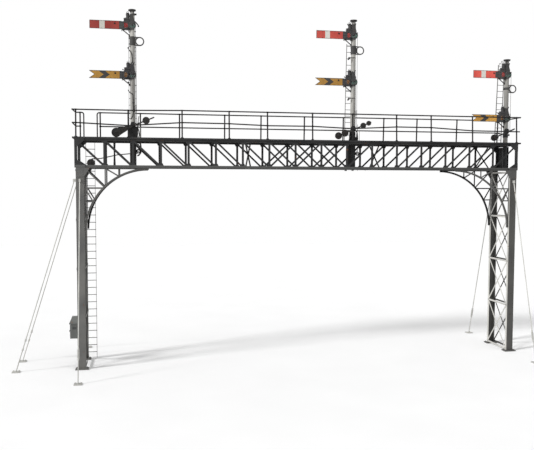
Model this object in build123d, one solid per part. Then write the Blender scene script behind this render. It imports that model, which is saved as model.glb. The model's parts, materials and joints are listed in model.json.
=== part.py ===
from build123d import *
import math
import os

# Sizes are in millimetres, with X along the span, Y away from the viewer and Z up.
# Truss: panels of equal length between two flat lattice girders.
PANEL = 900.0
PANELS = 17
SPAN = PANEL * PANELS
TRUSS_GAP = 1334.0
LEG_HEIGHT = 6540.0
TRUSS_DEPTH = 935.0
DECK_THICK = 50.0
DECK_LEFT = 100.0
DECK_RIGHT = 145.0
DECK_SIDE = 60.0
CHORD_WIDE = 100.0
TOP_CHORD_DEEP = 70.0
BOTTOM_CHORD_DEEP = 85.0
CHORD_PLATE = 12.0
WEB_PLATE = 14.0
WEB_INSET = 30.0
VERTICAL_WIDE = 72.0
DIAGONAL_WIDE = 58.0
END_POST_WIDE = 90.0
END_EDGE = 36.0
END_INNER = END_POST_WIDE - END_EDGE
CROSSED_PANELS = (7, 8, 9)
SWAY_X = (1200.0, 5680.0, 10210.0, 14310.0)
SWAY_BAR = 52.0
SWAY_STRUT = 40.0
SWAY_LEG = 50.0
SWAY_PLATE = 10.0
SEAT = 0.3

# Legs: two channel columns on each side with crossed lacing on both faces.
COLUMN_WIDE = 250.0
COLUMN_DEEP = 100.0
COLUMN_PLATE = 12.0
LEG_PANELS = 4
LACE_WIDE = 50.0
LACE_PLATE = 8.0
BASE_LONG = 420.0
BASE_WIDE = 260.0
BASE_THICK = 30.0
GUSSET_THICK = 10.0
GUSSET_DROP = 300.0
GUSSET_REACH = 420.0
CORNER_REACH = 240.0
CORNER_DROP = 190.0
CORNER_RISE = 160.0
DIAPHRAGM_X = 15315.0
DIAPHRAGM_FRONT = -90.0
DIAPHRAGM_PLATE = 10.0

# Knee brackets: an arch rib with a small lattice in the corner above it.
KNEE_RADIUS = 2050.0
KNEE_RIB = 60.0
KNEE_FLANGE = 76.0
KNEE_FLANGE_THICK = 8.0
KNEE_BAR = 42.0
KNEE_PLATE = 12.0
KNEE_EDGE = 22.0
KNEE_LINES = (660.0, 1090.0)

# Stays: round rods from the column heads to feet on the ground.
STAY_RADIUS = 16.0
STAY_HEAD_DROP = 400.0
STAY_REACH = 1750.0
STAY_SIDE_REACH = 1930.0
STAY_FOOT = 240.0
STAY_LUG = 90.0
STAY_LUG_HALF = 26.0
STAY_FOOT_THICK = 24.0

# Handrails.
RAIL_HEIGHT = 895.0
RAIL_RADIUS = 21.0
RAIL_POST_WIDE = 46.0
RAIL_POST_THICK = 14.0
RAIL_LEAN = 45.0
RAIL_FRONT_POSTS = (20, 1660, 3390, 4940, 6230, 7780, 9190, 10770, 12040, 13590, 15280)
RAIL_REAR_POSTS = (720, 2060, 3390, 4960, 6250, 7820, 9260, 10790, 12070, 13640, 15280)
FRONT_RAIL_DIPS = (30, 30, 0, 0, 0, 0, 0, 0, 0, 0, 0)
MID_RAIL_DROPS = (450, 520, 395, 403, 446, 440, 495, 411, 412, 498, 505)
MID_RAIL_EVEN = 460.0
RAIL_LEFT_END = -85.0
RAIL_RIGHT_END = SPAN + 125.0
HOOP_X = (180.0, 620.0)
HOOP_RADIUS = 70.0
HOOP_POST_X = 60.0

# Access ladder at the rear of the left leg.
LADDER_X = (220.0, 520.0)
LADDER_OUT = 210.0
LADDER_STILE = 50.0
LADDER_STILE_THICK = 12.0
LADDER_RUNG = 11.0
LADDER_PITCH = 250.0
LADDER_FIRST = 200.0
LADDER_CLEAR = 200.0
LADDER_PAD = 50.0

# Telephone box and wire wheel.
BOX_DEEP = 270.0
BOX_WIDE = 420.0
BOX_HIGH = 470.0
BOX_ROOF = 200.0
BOX_EAVES = 25.0
BOX_RIDGE_WIDE = 0.78
BOX_RIDGE_DEEP = 0.3
BOX_BOTTOM = 930.0
WHEEL_X = 440.0
WHEEL_RADIUS = 130.0
WHEEL_THICK = 40.0
WHEEL_UP = 170.0

# Signal posts on the deck, left to right, with heights above the girder's underside.
POST_X = (1810.0, 9400.0, 15230.0)
POST_RADIUS = 84.0
POST_WALL = 8.0
POST_TOP = (5000.0, 4990.0, 3830.0)
STOP_UP = (4720.0, 4695.0, 3520.0)
DISTANT_UP = (3110.0, 3090.0, 1950.0)
RING_DROP = 540.0
PIVOT_UP = 415.0
POST_HOLE_GAP = 3.0
BEARER_HALF = 100.0
BEARER_HIGH = 60.0
BEARER_PLATE = 12.0
SOCKET_RADIUS = 106.0
SOCKET_DROP = 80.0
SOCKET_POSTS = (0, 1)
FINIAL_HIGH = 210.0
FINIAL_FOOT = 84.0
FINIAL_NECK = 40.0
FINIAL_BRIM = 122.0

# Castings round the foot of each signal post, with a wire guide at the right.
CASTING_SIDE = 140.0
CASTING_THICK = 14.0
SLEEVE_RADIUS = 97.0
SLEEVE_HIGH = 340.0
WING_REACH = 138.0
GUIDE_HIGH = 600.0
GUIDE_REACH = 180.0
COLLAR_POST = 2
COLLAR_DROP = 190.0
COLLAR_HIGH = 124.0
COLLAR_LUG = 158.0

# Arms, with depths measured forward from the post's centre.
SPINDLE_RADIUS = 20.0
RUNNING_FIT = 0.05
HUB_RADIUS = 46.0
HUB_FROM = 100.0
HUB_TO = 124.0
HUB_RING_OUTER = 128.0
HUB_RING_INNER = 104.0
HUB_SPOKE = 26.0
BRACKET_FACE = 95.0
BLADE_FROM = 108.0
BLADE_TO = 116.0
STOP_TIP = 1360.0
DISTANT_TIP = 1390.0
STOP_DEEP = 262.0
DISTANT_DEEP = 245.0
BLADE_DROP = 55.0
BLADE_ROOT = 300.0
NOTCH = 170.0
LENS_REACH = 210.0
LENS_RADIUS = 74.0
LENS_RIM = 46.0
CRANK_PLATE_FROM = 105.0
CRANK_PLATE_TO = 119.0
STOP_CRANK = 110.0
DISTANT_CRANK = 60.0
CRANK_ANGLE = 22.5
PIN_RADIUS = 8.0
PIN_END = 146.0
OPEN_FIT = 0.5
EYE_RADIUS = 16.0
ROD_RADIUS = 8.0
ROD_FROM = 128.0
ROD_TO = 142.0

# Balance levers.
LEVER_HIGH = 44.0
LEVER_HUB = 34.0
STOP_LEVER = (106.0, 119.0)
DISTANT_LEVER = (155.0, 168.0)
PIVOT_RADIUS = 16.0
WEIGHT_THICK = 30.0
TAIL = 45.0

# Each lever's round weights, as places along it from the pivot and radii, then its right end.
STOP_WEIGHTS = (((-590.0, 145.0),), ((-585.0, 102.0), (600.0, 64.0)), ((-550.0, 108.0),))
STOP_RIGHT = (240.0, 700.0, 330.0)
DISTANT_WEIGHTS = (((-250.0, 70.0), (463.0, 112.0)), ((-348.0, 100.0), (365.0, 80.0)), ((-490.0, 85.0),))
DISTANT_RIGHT = (752.0, 450.0, 250.0)
DROP_SHAPED = (True, False, False)
TAILED = (False, True, True)

# Lamps, ladders and rings on the signal posts.
LAMP_X = 175.0
LAMP_WIDE = 190.0
LAMP_DEEP = 150.0
LAMP_FRONT = 88.0
LAMP_HIGH = 320.0
LAMP_ROOF = 60.0
LAMP_TOP = 372.0
CHIMNEY_X = 142.0
CHIMNEY_RADIUS = 57.0
SHELF_DROP = 180.0
SHELF_REACH = 330.0
POST_LADDER_TOP = 400.0
POST_LADDER_FOOT = 560.0
POST_LADDER_TOP_WIDE = 235.0
POST_LADDER_FOOT_WIDE = 260.0
POST_LADDER_PITCH = 224.0
POST_LADDER_RISE = (-280.0, -250.0, 380.0)
STRAP_HALF = 12.0
STRAP_DROP = (75.0, 75.0, 175.0)
STRAP_STEP = 1570.0
RING_X = 240.0
RING_OUTER = 147.0
RING_INNER = 119.0
RING_THICK = 24.0
RING_BAND = (145.0, 145.0, 40.0)

# Half height of a cut that only has to pass right through a fitting.
CUT_REACH = 500.0

# Places that follow from the sizes above.
UNDER = LEG_HEIGHT
DECK_TOP = UNDER + TRUSS_DEPTH + SEAT + DECK_THICK
TOP_UNDER = UNDER + TRUSS_DEPTH - TOP_CHORD_DEEP
LADDER_RUNGS = int((DECK_TOP - LADDER_FIRST - LADDER_CLEAR) / LADDER_PITCH) + 1
FRONT = -TRUSS_GAP / 2
REAR = TRUSS_GAP / 2
COLUMN_LEFT = 0.0
LEFT_EDGE = COLUMN_LEFT - STAY_SIDE_REACH - STAY_FOOT / 2
RIGHT_EDGE = POST_X[2] + RING_X + RING_OUTER
SHIFT = -(LEFT_EDGE + RIGHT_EDGE) / 2


def block(x0, x1, y0, y1, z0, z1):
    """Box between two corners, in gantry places."""
    return Pos((x0 + x1) / 2, (y0 + y1) / 2, (z0 + z1) / 2) * Box(x1 - x0, y1 - y0, z1 - z0)


def rod(start, end, radius):
    """Round rod between two points."""
    a = Vector(*start)
    b = Vector(*end)
    plane = Plane(origin=a, z_dir=b - a)
    return extrude(plane * Circle(radius), (b - a).length)


def flat_xz(points, y0, y1):
    """Plate with a corner list in X and Z, between two depths."""
    face = make_face(Polyline([Vector(x, y0, z) for x, z in points], close=True))
    return extrude(face, y1 - y0, dir=(0, 1, 0))


def flat_yz(points, x0, x1):
    """Plate with a corner list in Y and Z, between two places along the span."""
    face = make_face(Polyline([Vector(x0, y, z) for y, z in points], close=True))
    return extrude(face, x1 - x0, dir=(1, 0, 0))


def strip(a, b, wide):
    """Corners of a straight strip between two flat points."""
    dx = b[0] - a[0]
    dz = b[1] - a[1]
    scale = wide / 2 / math.hypot(dx, dz)
    nx = -dz * scale
    nz = dx * scale
    return [(a[0] + nx, a[1] + nz), (b[0] + nx, b[1] + nz), (b[0] - nx, b[1] - nz), (a[0] - nx, a[1] - nz)]


def disc_y(x, z, y0, y1, radius):
    """Round disc whose axis runs in depth."""
    return extrude(Plane(origin=(x, y0, z), z_dir=(0, 1, 0)) * Circle(radius), y1 - y0)


def slope(a, b):
    """Rise over run between two flat points."""
    return (b[1] - a[1]) / (b[0] - a[0])


def joined(shapes):
    """One solid from overlapping shapes."""
    return shapes[0].fuse(*shapes[1:])


def mirrored_x(shape):
    """Same shape at the other end of the span."""
    return shape.mirror(Plane(origin=(SPAN / 2, 0, 0), z_dir=(1, 0, 0)))


def mirrored_y(shape):
    """Same shape in the other girder."""
    return shape.mirror(Plane.XZ)


def top_chord():
    """Flange plate over two stems that hold the web between them."""
    top = UNDER + TRUSS_DEPTH
    ends = (-END_EDGE, SPAN + END_EDGE)
    slot = WEB_PLATE / 2 + SEAT
    shapes = [block(ends[0], ends[1], FRONT - CHORD_WIDE / 2, FRONT + CHORD_WIDE / 2, top - CHORD_PLATE, top)]
    for low, high in ((-slot - CHORD_PLATE, -slot), (slot, slot + CHORD_PLATE)):
        shapes.append(block(ends[0], ends[1], FRONT + low, FRONT + high, TOP_UNDER, top - CHORD_PLATE / 2))
    return joined(shapes)


def bottom_chord():
    """Flange plate under two stems that hold the web between them."""
    ends = (-END_EDGE, SPAN + END_EDGE)
    slot = WEB_PLATE / 2 + SEAT
    shapes = [block(ends[0], ends[1], FRONT - CHORD_WIDE / 2, FRONT + CHORD_WIDE / 2, UNDER, UNDER + CHORD_PLATE)]
    for low, high in ((-slot - CHORD_PLATE, -slot), (slot, slot + CHORD_PLATE)):
        shapes.append(
            block(ends[0], ends[1], FRONT + low, FRONT + high, UNDER + CHORD_PLATE / 2, UNDER + BOTTOM_CHORD_DEEP)
        )
    return joined(shapes)


def web():
    """Verticals and diagonals of one girder, crossed in the middle panels."""
    low = UNDER + CHORD_PLATE + SEAT
    high = UNDER + TRUSS_DEPTH - CHORD_PLATE - SEAT
    y0 = FRONT - WEB_PLATE / 2
    y1 = FRONT + WEB_PLATE / 2
    shapes = []
    for i in range(1, PANELS):
        shapes.append(block(i * PANEL - VERTICAL_WIDE / 2, i * PANEL + VERTICAL_WIDE / 2, y0, y1, low, high))
    for x0 in (-END_EDGE, SPAN - END_INNER):
        shapes.append(block(x0, x0 + END_POST_WIDE, y0, y1, low, high))
    for i in range(PANELS):
        left = (i * PANEL, low + WEB_INSET)
        right = ((i + 1) * PANEL, low + WEB_INSET)
        left_up = (i * PANEL, high - WEB_INSET)
        right_up = ((i + 1) * PANEL, high - WEB_INSET)
        if i <= max(CROSSED_PANELS):
            shapes.append(flat_xz(strip(left_up, right, DIAGONAL_WIDE), y0, y1))
        if i >= min(CROSSED_PANELS):
            shapes.append(flat_xz(strip(left, right_up, DIAGONAL_WIDE), y0, y1))
    return joined(shapes)


def sway_frames():
    """Crossed bars with a strut above and below, between the two girders."""
    solids = []
    y0 = FRONT + CHORD_WIDE / 2 + SEAT
    y1 = REAR - CHORD_WIDE / 2 - SEAT
    top = UNDER + TRUSS_DEPTH
    low = UNDER + SWAY_STRUT / 2
    high = top - SWAY_STRUT / 2
    for x in SWAY_X:
        bars = [
            block(x - SWAY_STRUT / 2, x + SWAY_STRUT / 2, y0, y1, UNDER, UNDER + SWAY_STRUT),
            block(x - SWAY_STRUT / 2, x + SWAY_STRUT / 2, y0, y1, top - SWAY_STRUT, top),
        ]
        for a, b in (((y0 + 30, low), (y1 - 30, high)), ((y0 + 30, high), (y1 - 30, low))):
            bars.append(flat_yz(strip(a, b, SWAY_BAR), x - SWAY_PLATE / 2, x + SWAY_PLATE / 2))
            bars.append(flat_yz(strip(a, b, SWAY_PLATE), x - SWAY_LEG / 2, x + SWAY_LEG / 2))
        inside = block(x - SWAY_LEG, x + SWAY_LEG, y0, y1, UNDER, top)
        solids.append((joined(bars) & inside).solid())
    return Compound(children=solids)


def post_space(n, gap, low, high):
    """Room round one signal post, for holes and notches."""
    return rod((POST_X[n], 0, low), (POST_X[n], 0, high), POST_RADIUS + gap)


def deck():
    """Walkway floor on the top chords, with a hole for each signal post."""
    z = UNDER + TRUSS_DEPTH + SEAT
    floor = block(-DECK_LEFT, SPAN + DECK_RIGHT, FRONT - DECK_SIDE, REAR + DECK_SIDE, z, z + DECK_THICK)
    for n in range(len(POST_X)):
        floor = floor - post_space(n, POST_HOLE_GAP, z - 10, z + DECK_THICK + 10)
    return floor.solid()


def deck_bearers():
    """Cross joists between the top chords at each panel point, notched round the posts."""
    solids = []
    y0 = FRONT + CHORD_WIDE / 2 + SEAT
    y1 = REAR - CHORD_WIDE / 2 - SEAT
    top = UNDER + TRUSS_DEPTH
    for i in range(PANELS + 1):
        x = i * PANEL
        joist = joined([
            block(x - 30, x + 30, y0, y1, top - 10, top),
            block(x - 5, x + 5, y0, y1, top - 60, top - 5),
        ])
        for n in range(len(POST_X)):
            if abs(POST_X[n] - x) < POST_RADIUS + 30:
                joist = joist - post_space(n, POST_HOLE_GAP, top - 100, top + 10)
        solids.extend(joist.solids())
    return Compound(children=solids)


def post_bearers():
    """Channel across the bottom chords under each signal post, with a socket where the post has one."""
    solids = []
    top = UNDER + TRUSS_DEPTH - SOCKET_DROP
    y0 = FRONT + CHORD_WIDE / 2 + SEAT
    y1 = REAR - CHORD_WIDE / 2 - SEAT
    for n, x in enumerate(POST_X):
        shapes = [block(x - BEARER_HALF, x + BEARER_HALF, y0, y1, UNDER, UNDER + BEARER_PLATE)]
        for x0 in (x - BEARER_HALF, x + BEARER_HALF - BEARER_PLATE):
            shapes.append(block(x0, x0 + BEARER_PLATE, y0, y1, UNDER, UNDER + BEARER_HIGH))
        if n in SOCKET_POSTS:
            shapes.append(rod((x, 0, UNDER + 2), (x, 0, top), SOCKET_RADIUS))
        bearer = joined(shapes) - post_space(n, SEAT, UNDER + BEARER_PLATE, top + 10)
        solids.append(bearer.solid())
    return Compound(children=solids)


def end_diaphragm():
    """Plate across the right end of the girders, beside the last signal post."""
    y1 = REAR - WEB_PLATE / 2 - SEAT
    return block(
        DIAPHRAGM_X, DIAPHRAGM_X + DIAPHRAGM_PLATE, DIAPHRAGM_FRONT, y1, UNDER + BOTTOM_CHORD_DEEP + SEAT, TOP_UNDER - SEAT
    )


def column():
    """Left front column: a channel with its web to the front."""
    x0 = COLUMN_LEFT
    x1 = COLUMN_LEFT + COLUMN_WIDE
    y0 = FRONT - COLUMN_DEEP / 2
    y1 = FRONT + COLUMN_DEEP / 2
    z0 = BASE_THICK + SEAT
    z1 = UNDER - SEAT
    return joined([
        block(x0, x1, y0, y0 + COLUMN_PLATE, z0, z1),
        block(x0, x0 + COLUMN_PLATE, y0, y1, z0, z1),
        block(x1 - COLUMN_PLATE, x1, y0, y1, z0, z1),
    ])


def leg_lacing():
    """Crossed bars and struts on both faces of the left leg."""
    solids = []
    y0 = FRONT + 5
    y1 = REAR - 5
    z0 = BASE_THICK + 60.0
    step = (UNDER - 80.0 - z0) / LEG_PANELS
    inner = COLUMN_LEFT + COLUMN_WIDE + SEAT
    for x0 in (COLUMN_LEFT - SEAT - LACE_PLATE, inner):
        bars = []
        for i in range(LEG_PANELS):
            low = z0 + i * step
            high = low + step
            bars.append(flat_yz(strip((y0, low), (y1, high), LACE_WIDE), x0, x0 + LACE_PLATE))
            bars.append(flat_yz(strip((y0, high), (y1, low), LACE_WIDE), x0, x0 + LACE_PLATE))
        for i in range(LEG_PANELS + 1):
            z = z0 + i * step
            bars.append(block(x0, x0 + LACE_PLATE, y0 - 25, y1 + 25, z - 30, z + 30))
        solids.append(joined(bars).solid())
    return Compound(children=solids)


def quarter_band(cx, cz, outer, inner, wide):
    """Quarter ring from the column to the girder, in line with the front girder."""
    steps = 20
    outline = []
    for radius, order in ((outer, range(steps + 1)), (inner, range(steps, -1, -1))):
        for i in order:
            angle = math.radians(180.0 - 90.0 * i / steps)
            outline.append((cx + radius * math.cos(angle), cz + radius * math.sin(angle)))
    return flat_xz(outline, FRONT - wide / 2, FRONT + wide / 2)


def knee():
    """Arch rib and corner lattice under the left end of the front girder."""
    x0 = COLUMN_LEFT + COLUMN_WIDE + SEAT + LACE_PLATE + SEAT
    top = UNDER - SEAT
    cx = x0 + KNEE_RADIUS
    cz = top - KNEE_RADIUS
    y0 = FRONT - KNEE_PLATE / 2
    y1 = FRONT + KNEE_PLATE / 2
    inner = KNEE_RADIUS - KNEE_RIB
    shapes = [quarter_band(cx, cz, KNEE_RADIUS, inner, KNEE_PLATE)]
    shapes.append(quarter_band(cx, cz, inner + KNEE_FLANGE_THICK, inner, KNEE_FLANGE))
    shapes.append(block(x0, x0 + KNEE_EDGE, y0, y1, cz, top))
    shapes.append(block(x0, cx, y0, y1, top - KNEE_EDGE, top))
    middle = KNEE_RADIUS - KNEE_RIB / 2

    def rib_z(x):
        return cz + math.sqrt(middle ** 2 - (cx - x) ** 2)

    for d in KNEE_LINES:
        x = x0 + d
        z = top - d
        shapes.append(flat_xz(strip((x, top - 5), (x, rib_z(x)), KNEE_BAR), y0, y1))
        shapes.append(flat_xz(strip((x0 + 5, z), (cx - math.sqrt(middle ** 2 - (z - cz) ** 2), z), KNEE_BAR), y0, y1))
    reach = middle / math.sqrt(2.0)
    shapes.append(flat_xz(strip((x0 + 20, top - 20), (cx - reach, cz + reach), KNEE_BAR), y0, y1))
    first = x0 + KNEE_LINES[0]
    second = x0 + KNEE_LINES[1]
    shapes.append(flat_xz(strip((first, top - 20), (second, rib_z(second)), KNEE_BAR), y0, y1))
    low = top - KNEE_LINES[1]
    rib_x = cx - math.sqrt(middle ** 2 - (low - cz) ** 2)
    shapes.append(flat_xz(strip((x0 + 20, top - KNEE_LINES[0]), (rib_x, low), KNEE_BAR), y0, y1))
    return joined(shapes)


def gusset():
    """Corner plate over the left front column head."""
    y1 = FRONT - COLUMN_DEEP / 2 - SEAT
    x0 = COLUMN_LEFT
    x1 = COLUMN_LEFT + COLUMN_WIDE
    points = [(x0, UNDER - GUSSET_DROP), (x1, UNDER - GUSSET_DROP), (GUSSET_REACH, UNDER - 40)]
    points += [(GUSSET_REACH, UNDER - 4), (x0, UNDER - 4)]
    return flat_xz(points, y1 - GUSSET_THICK, y1)


def corner_plates():
    """Upper and lower corner plates at the left end of the front girder."""
    y1 = FRONT - COLUMN_DEEP / 2 - SEAT
    top = UNDER + TRUSS_DEPTH
    far = END_INNER + CORNER_REACH
    upper = [(-END_EDGE, TOP_UNDER - CORNER_DROP), (END_INNER, TOP_UNDER - CORNER_DROP), (far - 30, TOP_UNDER)]
    upper += [(far - 30, top), (-END_EDGE, top)]
    chord_top = UNDER + BOTTOM_CHORD_DEEP
    lower = [(-END_EDGE, UNDER), (far, UNDER), (far, chord_top), (END_INNER, chord_top + CORNER_RISE)]
    lower.append((-END_EDGE, chord_top + CORNER_RISE))
    return [flat_xz(points, y1 - GUSSET_THICK, y1) for points in (upper, lower)]


def end_post():
    """Channel end post between the chords at the left end of the front girder."""
    y0 = FRONT - COLUMN_DEEP / 2
    y1 = FRONT - WEB_PLATE / 2 - SEAT - CHORD_PLATE - SEAT
    low = UNDER + CHORD_PLATE + SEAT
    high = UNDER + TRUSS_DEPTH - CHORD_PLATE - SEAT
    return block(-END_EDGE, END_INNER, y0, y1, low, high)


def four(shape):
    """Copies of one left front piece at all four corners."""
    right = mirrored_x(shape)
    return Compound(children=[s.solid() for s in (shape, right, mirrored_y(shape), mirrored_y(right))])


def base_plate():
    """Foot under the left front column."""
    x = COLUMN_LEFT + COLUMN_WIDE / 2
    return block(x - BASE_LONG / 2, x + BASE_LONG / 2, FRONT - BASE_WIDE / 2, FRONT + BASE_WIDE / 2, 0, BASE_THICK)


def stay(head, foot, lug):
    """Straight stay rod, its lug at the head and its plate at the foot."""
    half = STAY_FOOT / 2
    plate = block(foot[0] - half, foot[0] + half, foot[1] - half, foot[1] + half, 0, STAY_FOOT_THICK)
    hole = rod(head, foot, STAY_RADIUS + SEAT)
    return [rod(head, foot, STAY_RADIUS).solid(), (plate - hole).solid(), (lug - hole).solid()]


def front_stay():
    """Stay in front of the left leg."""
    x = COLUMN_LEFT + COLUMN_WIDE / 2
    y = FRONT - COLUMN_DEEP / 2 - SEAT
    z = UNDER - STAY_HEAD_DROP
    lug = block(x - STAY_LUG_HALF, x + STAY_LUG_HALF, y - STAY_LUG, y, z - 60, z + 40)
    return stay((x, y - 45, z), (x, y - STAY_REACH, STAY_FOOT_THICK / 2), lug)


def side_stay():
    """Stay beside the left front column."""
    x = COLUMN_LEFT - SEAT
    y = FRONT - COLUMN_DEEP / 2 + STAY_LUG_HALF
    z = UNDER - STAY_HEAD_DROP
    lug = block(x - STAY_LUG, x, y - STAY_LUG_HALF, y + STAY_LUG_HALF, z - 60, z + 40)
    return stay((x - 45, y, z), (x + SEAT - STAY_SIDE_REACH, y, STAY_FOOT_THICK / 2), lug)


def rail_run(places, heights, y):
    """Tube through a line of places, bent only where its slope changes."""
    points = []
    for x, z in zip(places, heights):
        while len(points) > 1 and abs(slope(points[-2], points[-1]) - slope(points[-1], (x, z))) < 1e-6:
            points.pop()
        points.append((x, z))
    shapes = []
    for i in range(len(points) - 1):
        (ax, az), (bx, bz) = points[i], points[i + 1]
        shapes.append(rod((ax, y, az), (bx, y, bz), RAIL_RADIUS))
    return shapes


def rail_post(x, y, out, top):
    """Leaning post whose foot stands outside the rails."""
    low = DECK_TOP + SEAT
    half = RAIL_POST_THICK / 2
    foot = y + out * RAIL_LEAN
    shape = flat_yz(
        [(foot - half, low), (foot + half, low), (y + half, top), (y - half, top)],
        x - RAIL_POST_WIDE / 2, x + RAIL_POST_WIDE / 2,
    )
    return [shape, block(x - 45, x + 45, foot - 30, foot + 30, low, low + 10)]


def front_handrail():
    """Two rails along the front, with the posts as they stand in the photograph."""
    top = DECK_TOP + RAIL_HEIGHT
    inner = RAIL_RADIUS + SEAT
    places = [RAIL_LEFT_END + inner] + list(RAIL_FRONT_POSTS) + [RAIL_RIGHT_END - inner]
    tops = [top - dip for dip in (FRONT_RAIL_DIPS[0],) + FRONT_RAIL_DIPS + (FRONT_RAIL_DIPS[-1],)]
    mids = [top - drop for drop in (MID_RAIL_DROPS[0],) + MID_RAIL_DROPS + (MID_RAIL_DROPS[-1],)]
    shapes = rail_run(places, tops, FRONT) + rail_run(places, mids, FRONT - RAIL_LEAN / 2)
    for i in range(len(RAIL_FRONT_POSTS)):
        shapes += rail_post(RAIL_FRONT_POSTS[i], FRONT, -1, tops[i + 1])
    return joined(shapes)


def hoop_end(side):
    """Bent end of the rear top rail beside the ladder, down to the deck."""
    x = HOOP_X[0] if side > 0 else HOOP_X[1]
    centre = x - side * HOOP_RADIUS
    top = DECK_TOP + RAIL_HEIGHT
    start = Plane(origin=(centre, REAR, top), z_dir=(1, 0, 0)) * Circle(RAIL_RADIUS)
    bend = revolve(start, Axis((centre, REAR, top - HOOP_RADIUS), (0, side, 0)), 90)
    return [bend, rod((x, REAR, DECK_TOP + SEAT), (x, REAR, top - HOOP_RADIUS), RAIL_RADIUS)]


def rear_handrail():
    """Two rails along the rear, open at the access ladder."""
    top = DECK_TOP + RAIL_HEIGHT
    inner = RAIL_RADIUS + SEAT
    middle = top - MID_RAIL_EVEN
    out = REAR + RAIL_LEAN / 2
    start = RAIL_LEFT_END + inner
    stub = rail_run([start, HOOP_X[0] - HOOP_RADIUS], [top] * 2, REAR) + hoop_end(1)
    stub += rail_run([start, HOOP_POST_X], [middle] * 2, out) + rail_post(HOOP_POST_X, REAR, 1, top)
    places = [HOOP_X[1] + HOOP_RADIUS, RAIL_RIGHT_END - inner]
    shapes = rail_run(places, [top] * 2, REAR) + hoop_end(-1)
    shapes += rail_run([RAIL_REAR_POSTS[0], places[1]], [middle] * 2, out)
    for x in RAIL_REAR_POSTS:
        shapes += rail_post(x, REAR, 1, top)
    return Compound(children=[joined(stub).solid(), joined(shapes).solid()])


def end_rails():
    """Rails across both ends of the deck, doubled on the left."""
    top = DECK_TOP + RAIL_HEIGHT
    solids = []
    for x, front, rear in (
        (RAIL_LEFT_END, FRONT_RAIL_DIPS[0], 0.0), (RAIL_LEFT_END, MID_RAIL_DROPS[0], MID_RAIL_EVEN), (RAIL_RIGHT_END, 0.0, 0.0),
    ):
        out = RAIL_RADIUS if front < RAIL_HEIGHT / 4 else RAIL_RADIUS + RAIL_LEAN / 2
        solids.append(rod((x, FRONT - out, top - front), (x, REAR + out, top - rear), RAIL_RADIUS).solid())
    return Compound(children=solids)


def access_ladder():
    """Ladder from the ground to the deck at the rear of the left leg."""
    y = REAR + LADDER_OUT
    half = LADDER_STILE_THICK / 2
    shapes = []
    brackets = []
    for x in LADDER_X:
        shapes.append(block(x - half, x + half, y - LADDER_STILE / 2, y + LADDER_STILE / 2, 0, DECK_TOP))
        reach = REAR + DECK_SIDE + SEAT
        z = DECK_TOP - DECK_THICK / 2
        brackets.append(joined([
            block(x - half, x + half, reach, y - LADDER_STILE / 2 - SEAT, z - 20, z + 20),
            block(x - LADDER_PAD / 2, x + LADDER_PAD / 2, reach, reach + 10, z - 22, z + 22),
        ]).solid())
    for i in range(LADDER_RUNGS):
        z = LADDER_FIRST + i * LADDER_PITCH
        shapes.append(rod((LADDER_X[0], y, z), (LADDER_X[1], y, z), LADDER_RUNG))
    return Compound(children=[joined(shapes).solid()] + brackets)


def telephone_box():
    """Small cabinet with a sloped lid on the outside of the left leg."""
    x1 = COLUMN_LEFT - SEAT - LACE_PLATE - SEAT
    x0 = x1 - BOX_DEEP
    z0 = BOX_BOTTOM
    z1 = BOX_BOTTOM + BOX_HIGH
    y0 = -BOX_WIDE / 2
    y1 = BOX_WIDE / 2
    body = block(x0, x1, y0, y1, z0, z1)
    wide = x1 - x0 + BOX_EAVES
    deep = BOX_WIDE + 2 * BOX_EAVES
    middle = x1 - wide / 2
    ridge = Rectangle(wide * BOX_RIDGE_WIDE, deep * BOX_RIDGE_DEEP)
    roof = loft([
        Plane(origin=(middle, 0, z1 + 30)) * Rectangle(wide, deep),
        Plane(origin=(x1 - wide * BOX_RIDGE_WIDE / 2, deep * 0.3, z1 + BOX_ROOF)) * ridge,
    ])
    eaves = block(x0 - BOX_EAVES, x1, -deep / 2, deep / 2, z1 - 5, z1 + 30)
    rail = block(x1 - 12, x1, FRONT + 40, REAR - 40, z1 - 110, z1 - 60)
    return joined([body, eaves, roof, rail])


def wire_wheel():
    """Wheel that leads the signal wires along the girder, on a cross beam."""
    y0 = FRONT + CHORD_WIDE / 2 + SEAT
    y1 = REAR - CHORD_WIDE / 2 - SEAT
    z = UNDER + WHEEL_UP
    shapes = [block(WHEEL_X - 30, WHEEL_X + 30, y0, y1, UNDER, UNDER + 40)]
    for y in (-WHEEL_THICK / 2 - 20, WHEEL_THICK / 2 + 10):
        shapes.append(block(WHEEL_X - 20, WHEEL_X + 20, y, y + 10, UNDER + 30, z + 25))
    shapes.append(disc_y(WHEEL_X, z, -WHEEL_THICK / 2 - 20, WHEEL_THICK / 2 + 20, 15))
    shapes.append(disc_y(WHEEL_X, z, -WHEEL_THICK / 2, -WHEEL_THICK / 2 + 8, WHEEL_RADIUS))
    shapes.append(disc_y(WHEEL_X, z, WHEEL_THICK / 2 - 8, WHEEL_THICK / 2, WHEEL_RADIUS))
    shapes.append(disc_y(WHEEL_X, z, -WHEEL_THICK / 2, WHEEL_THICK / 2, WHEEL_RADIUS - 22))
    return joined(shapes)


def signal_post(n):
    """Tube post that stands on its bearer and passes through the deck."""
    x = POST_X[n]
    low = UNDER + BEARER_PLATE + SEAT
    high = UNDER + POST_TOP[n]
    outer = rod((x, 0, low), (x, 0, high), POST_RADIUS)
    return (outer - rod((x, 0, low - 5), (x, 0, high + 5), POST_RADIUS - POST_WALL)).solid()


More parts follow.
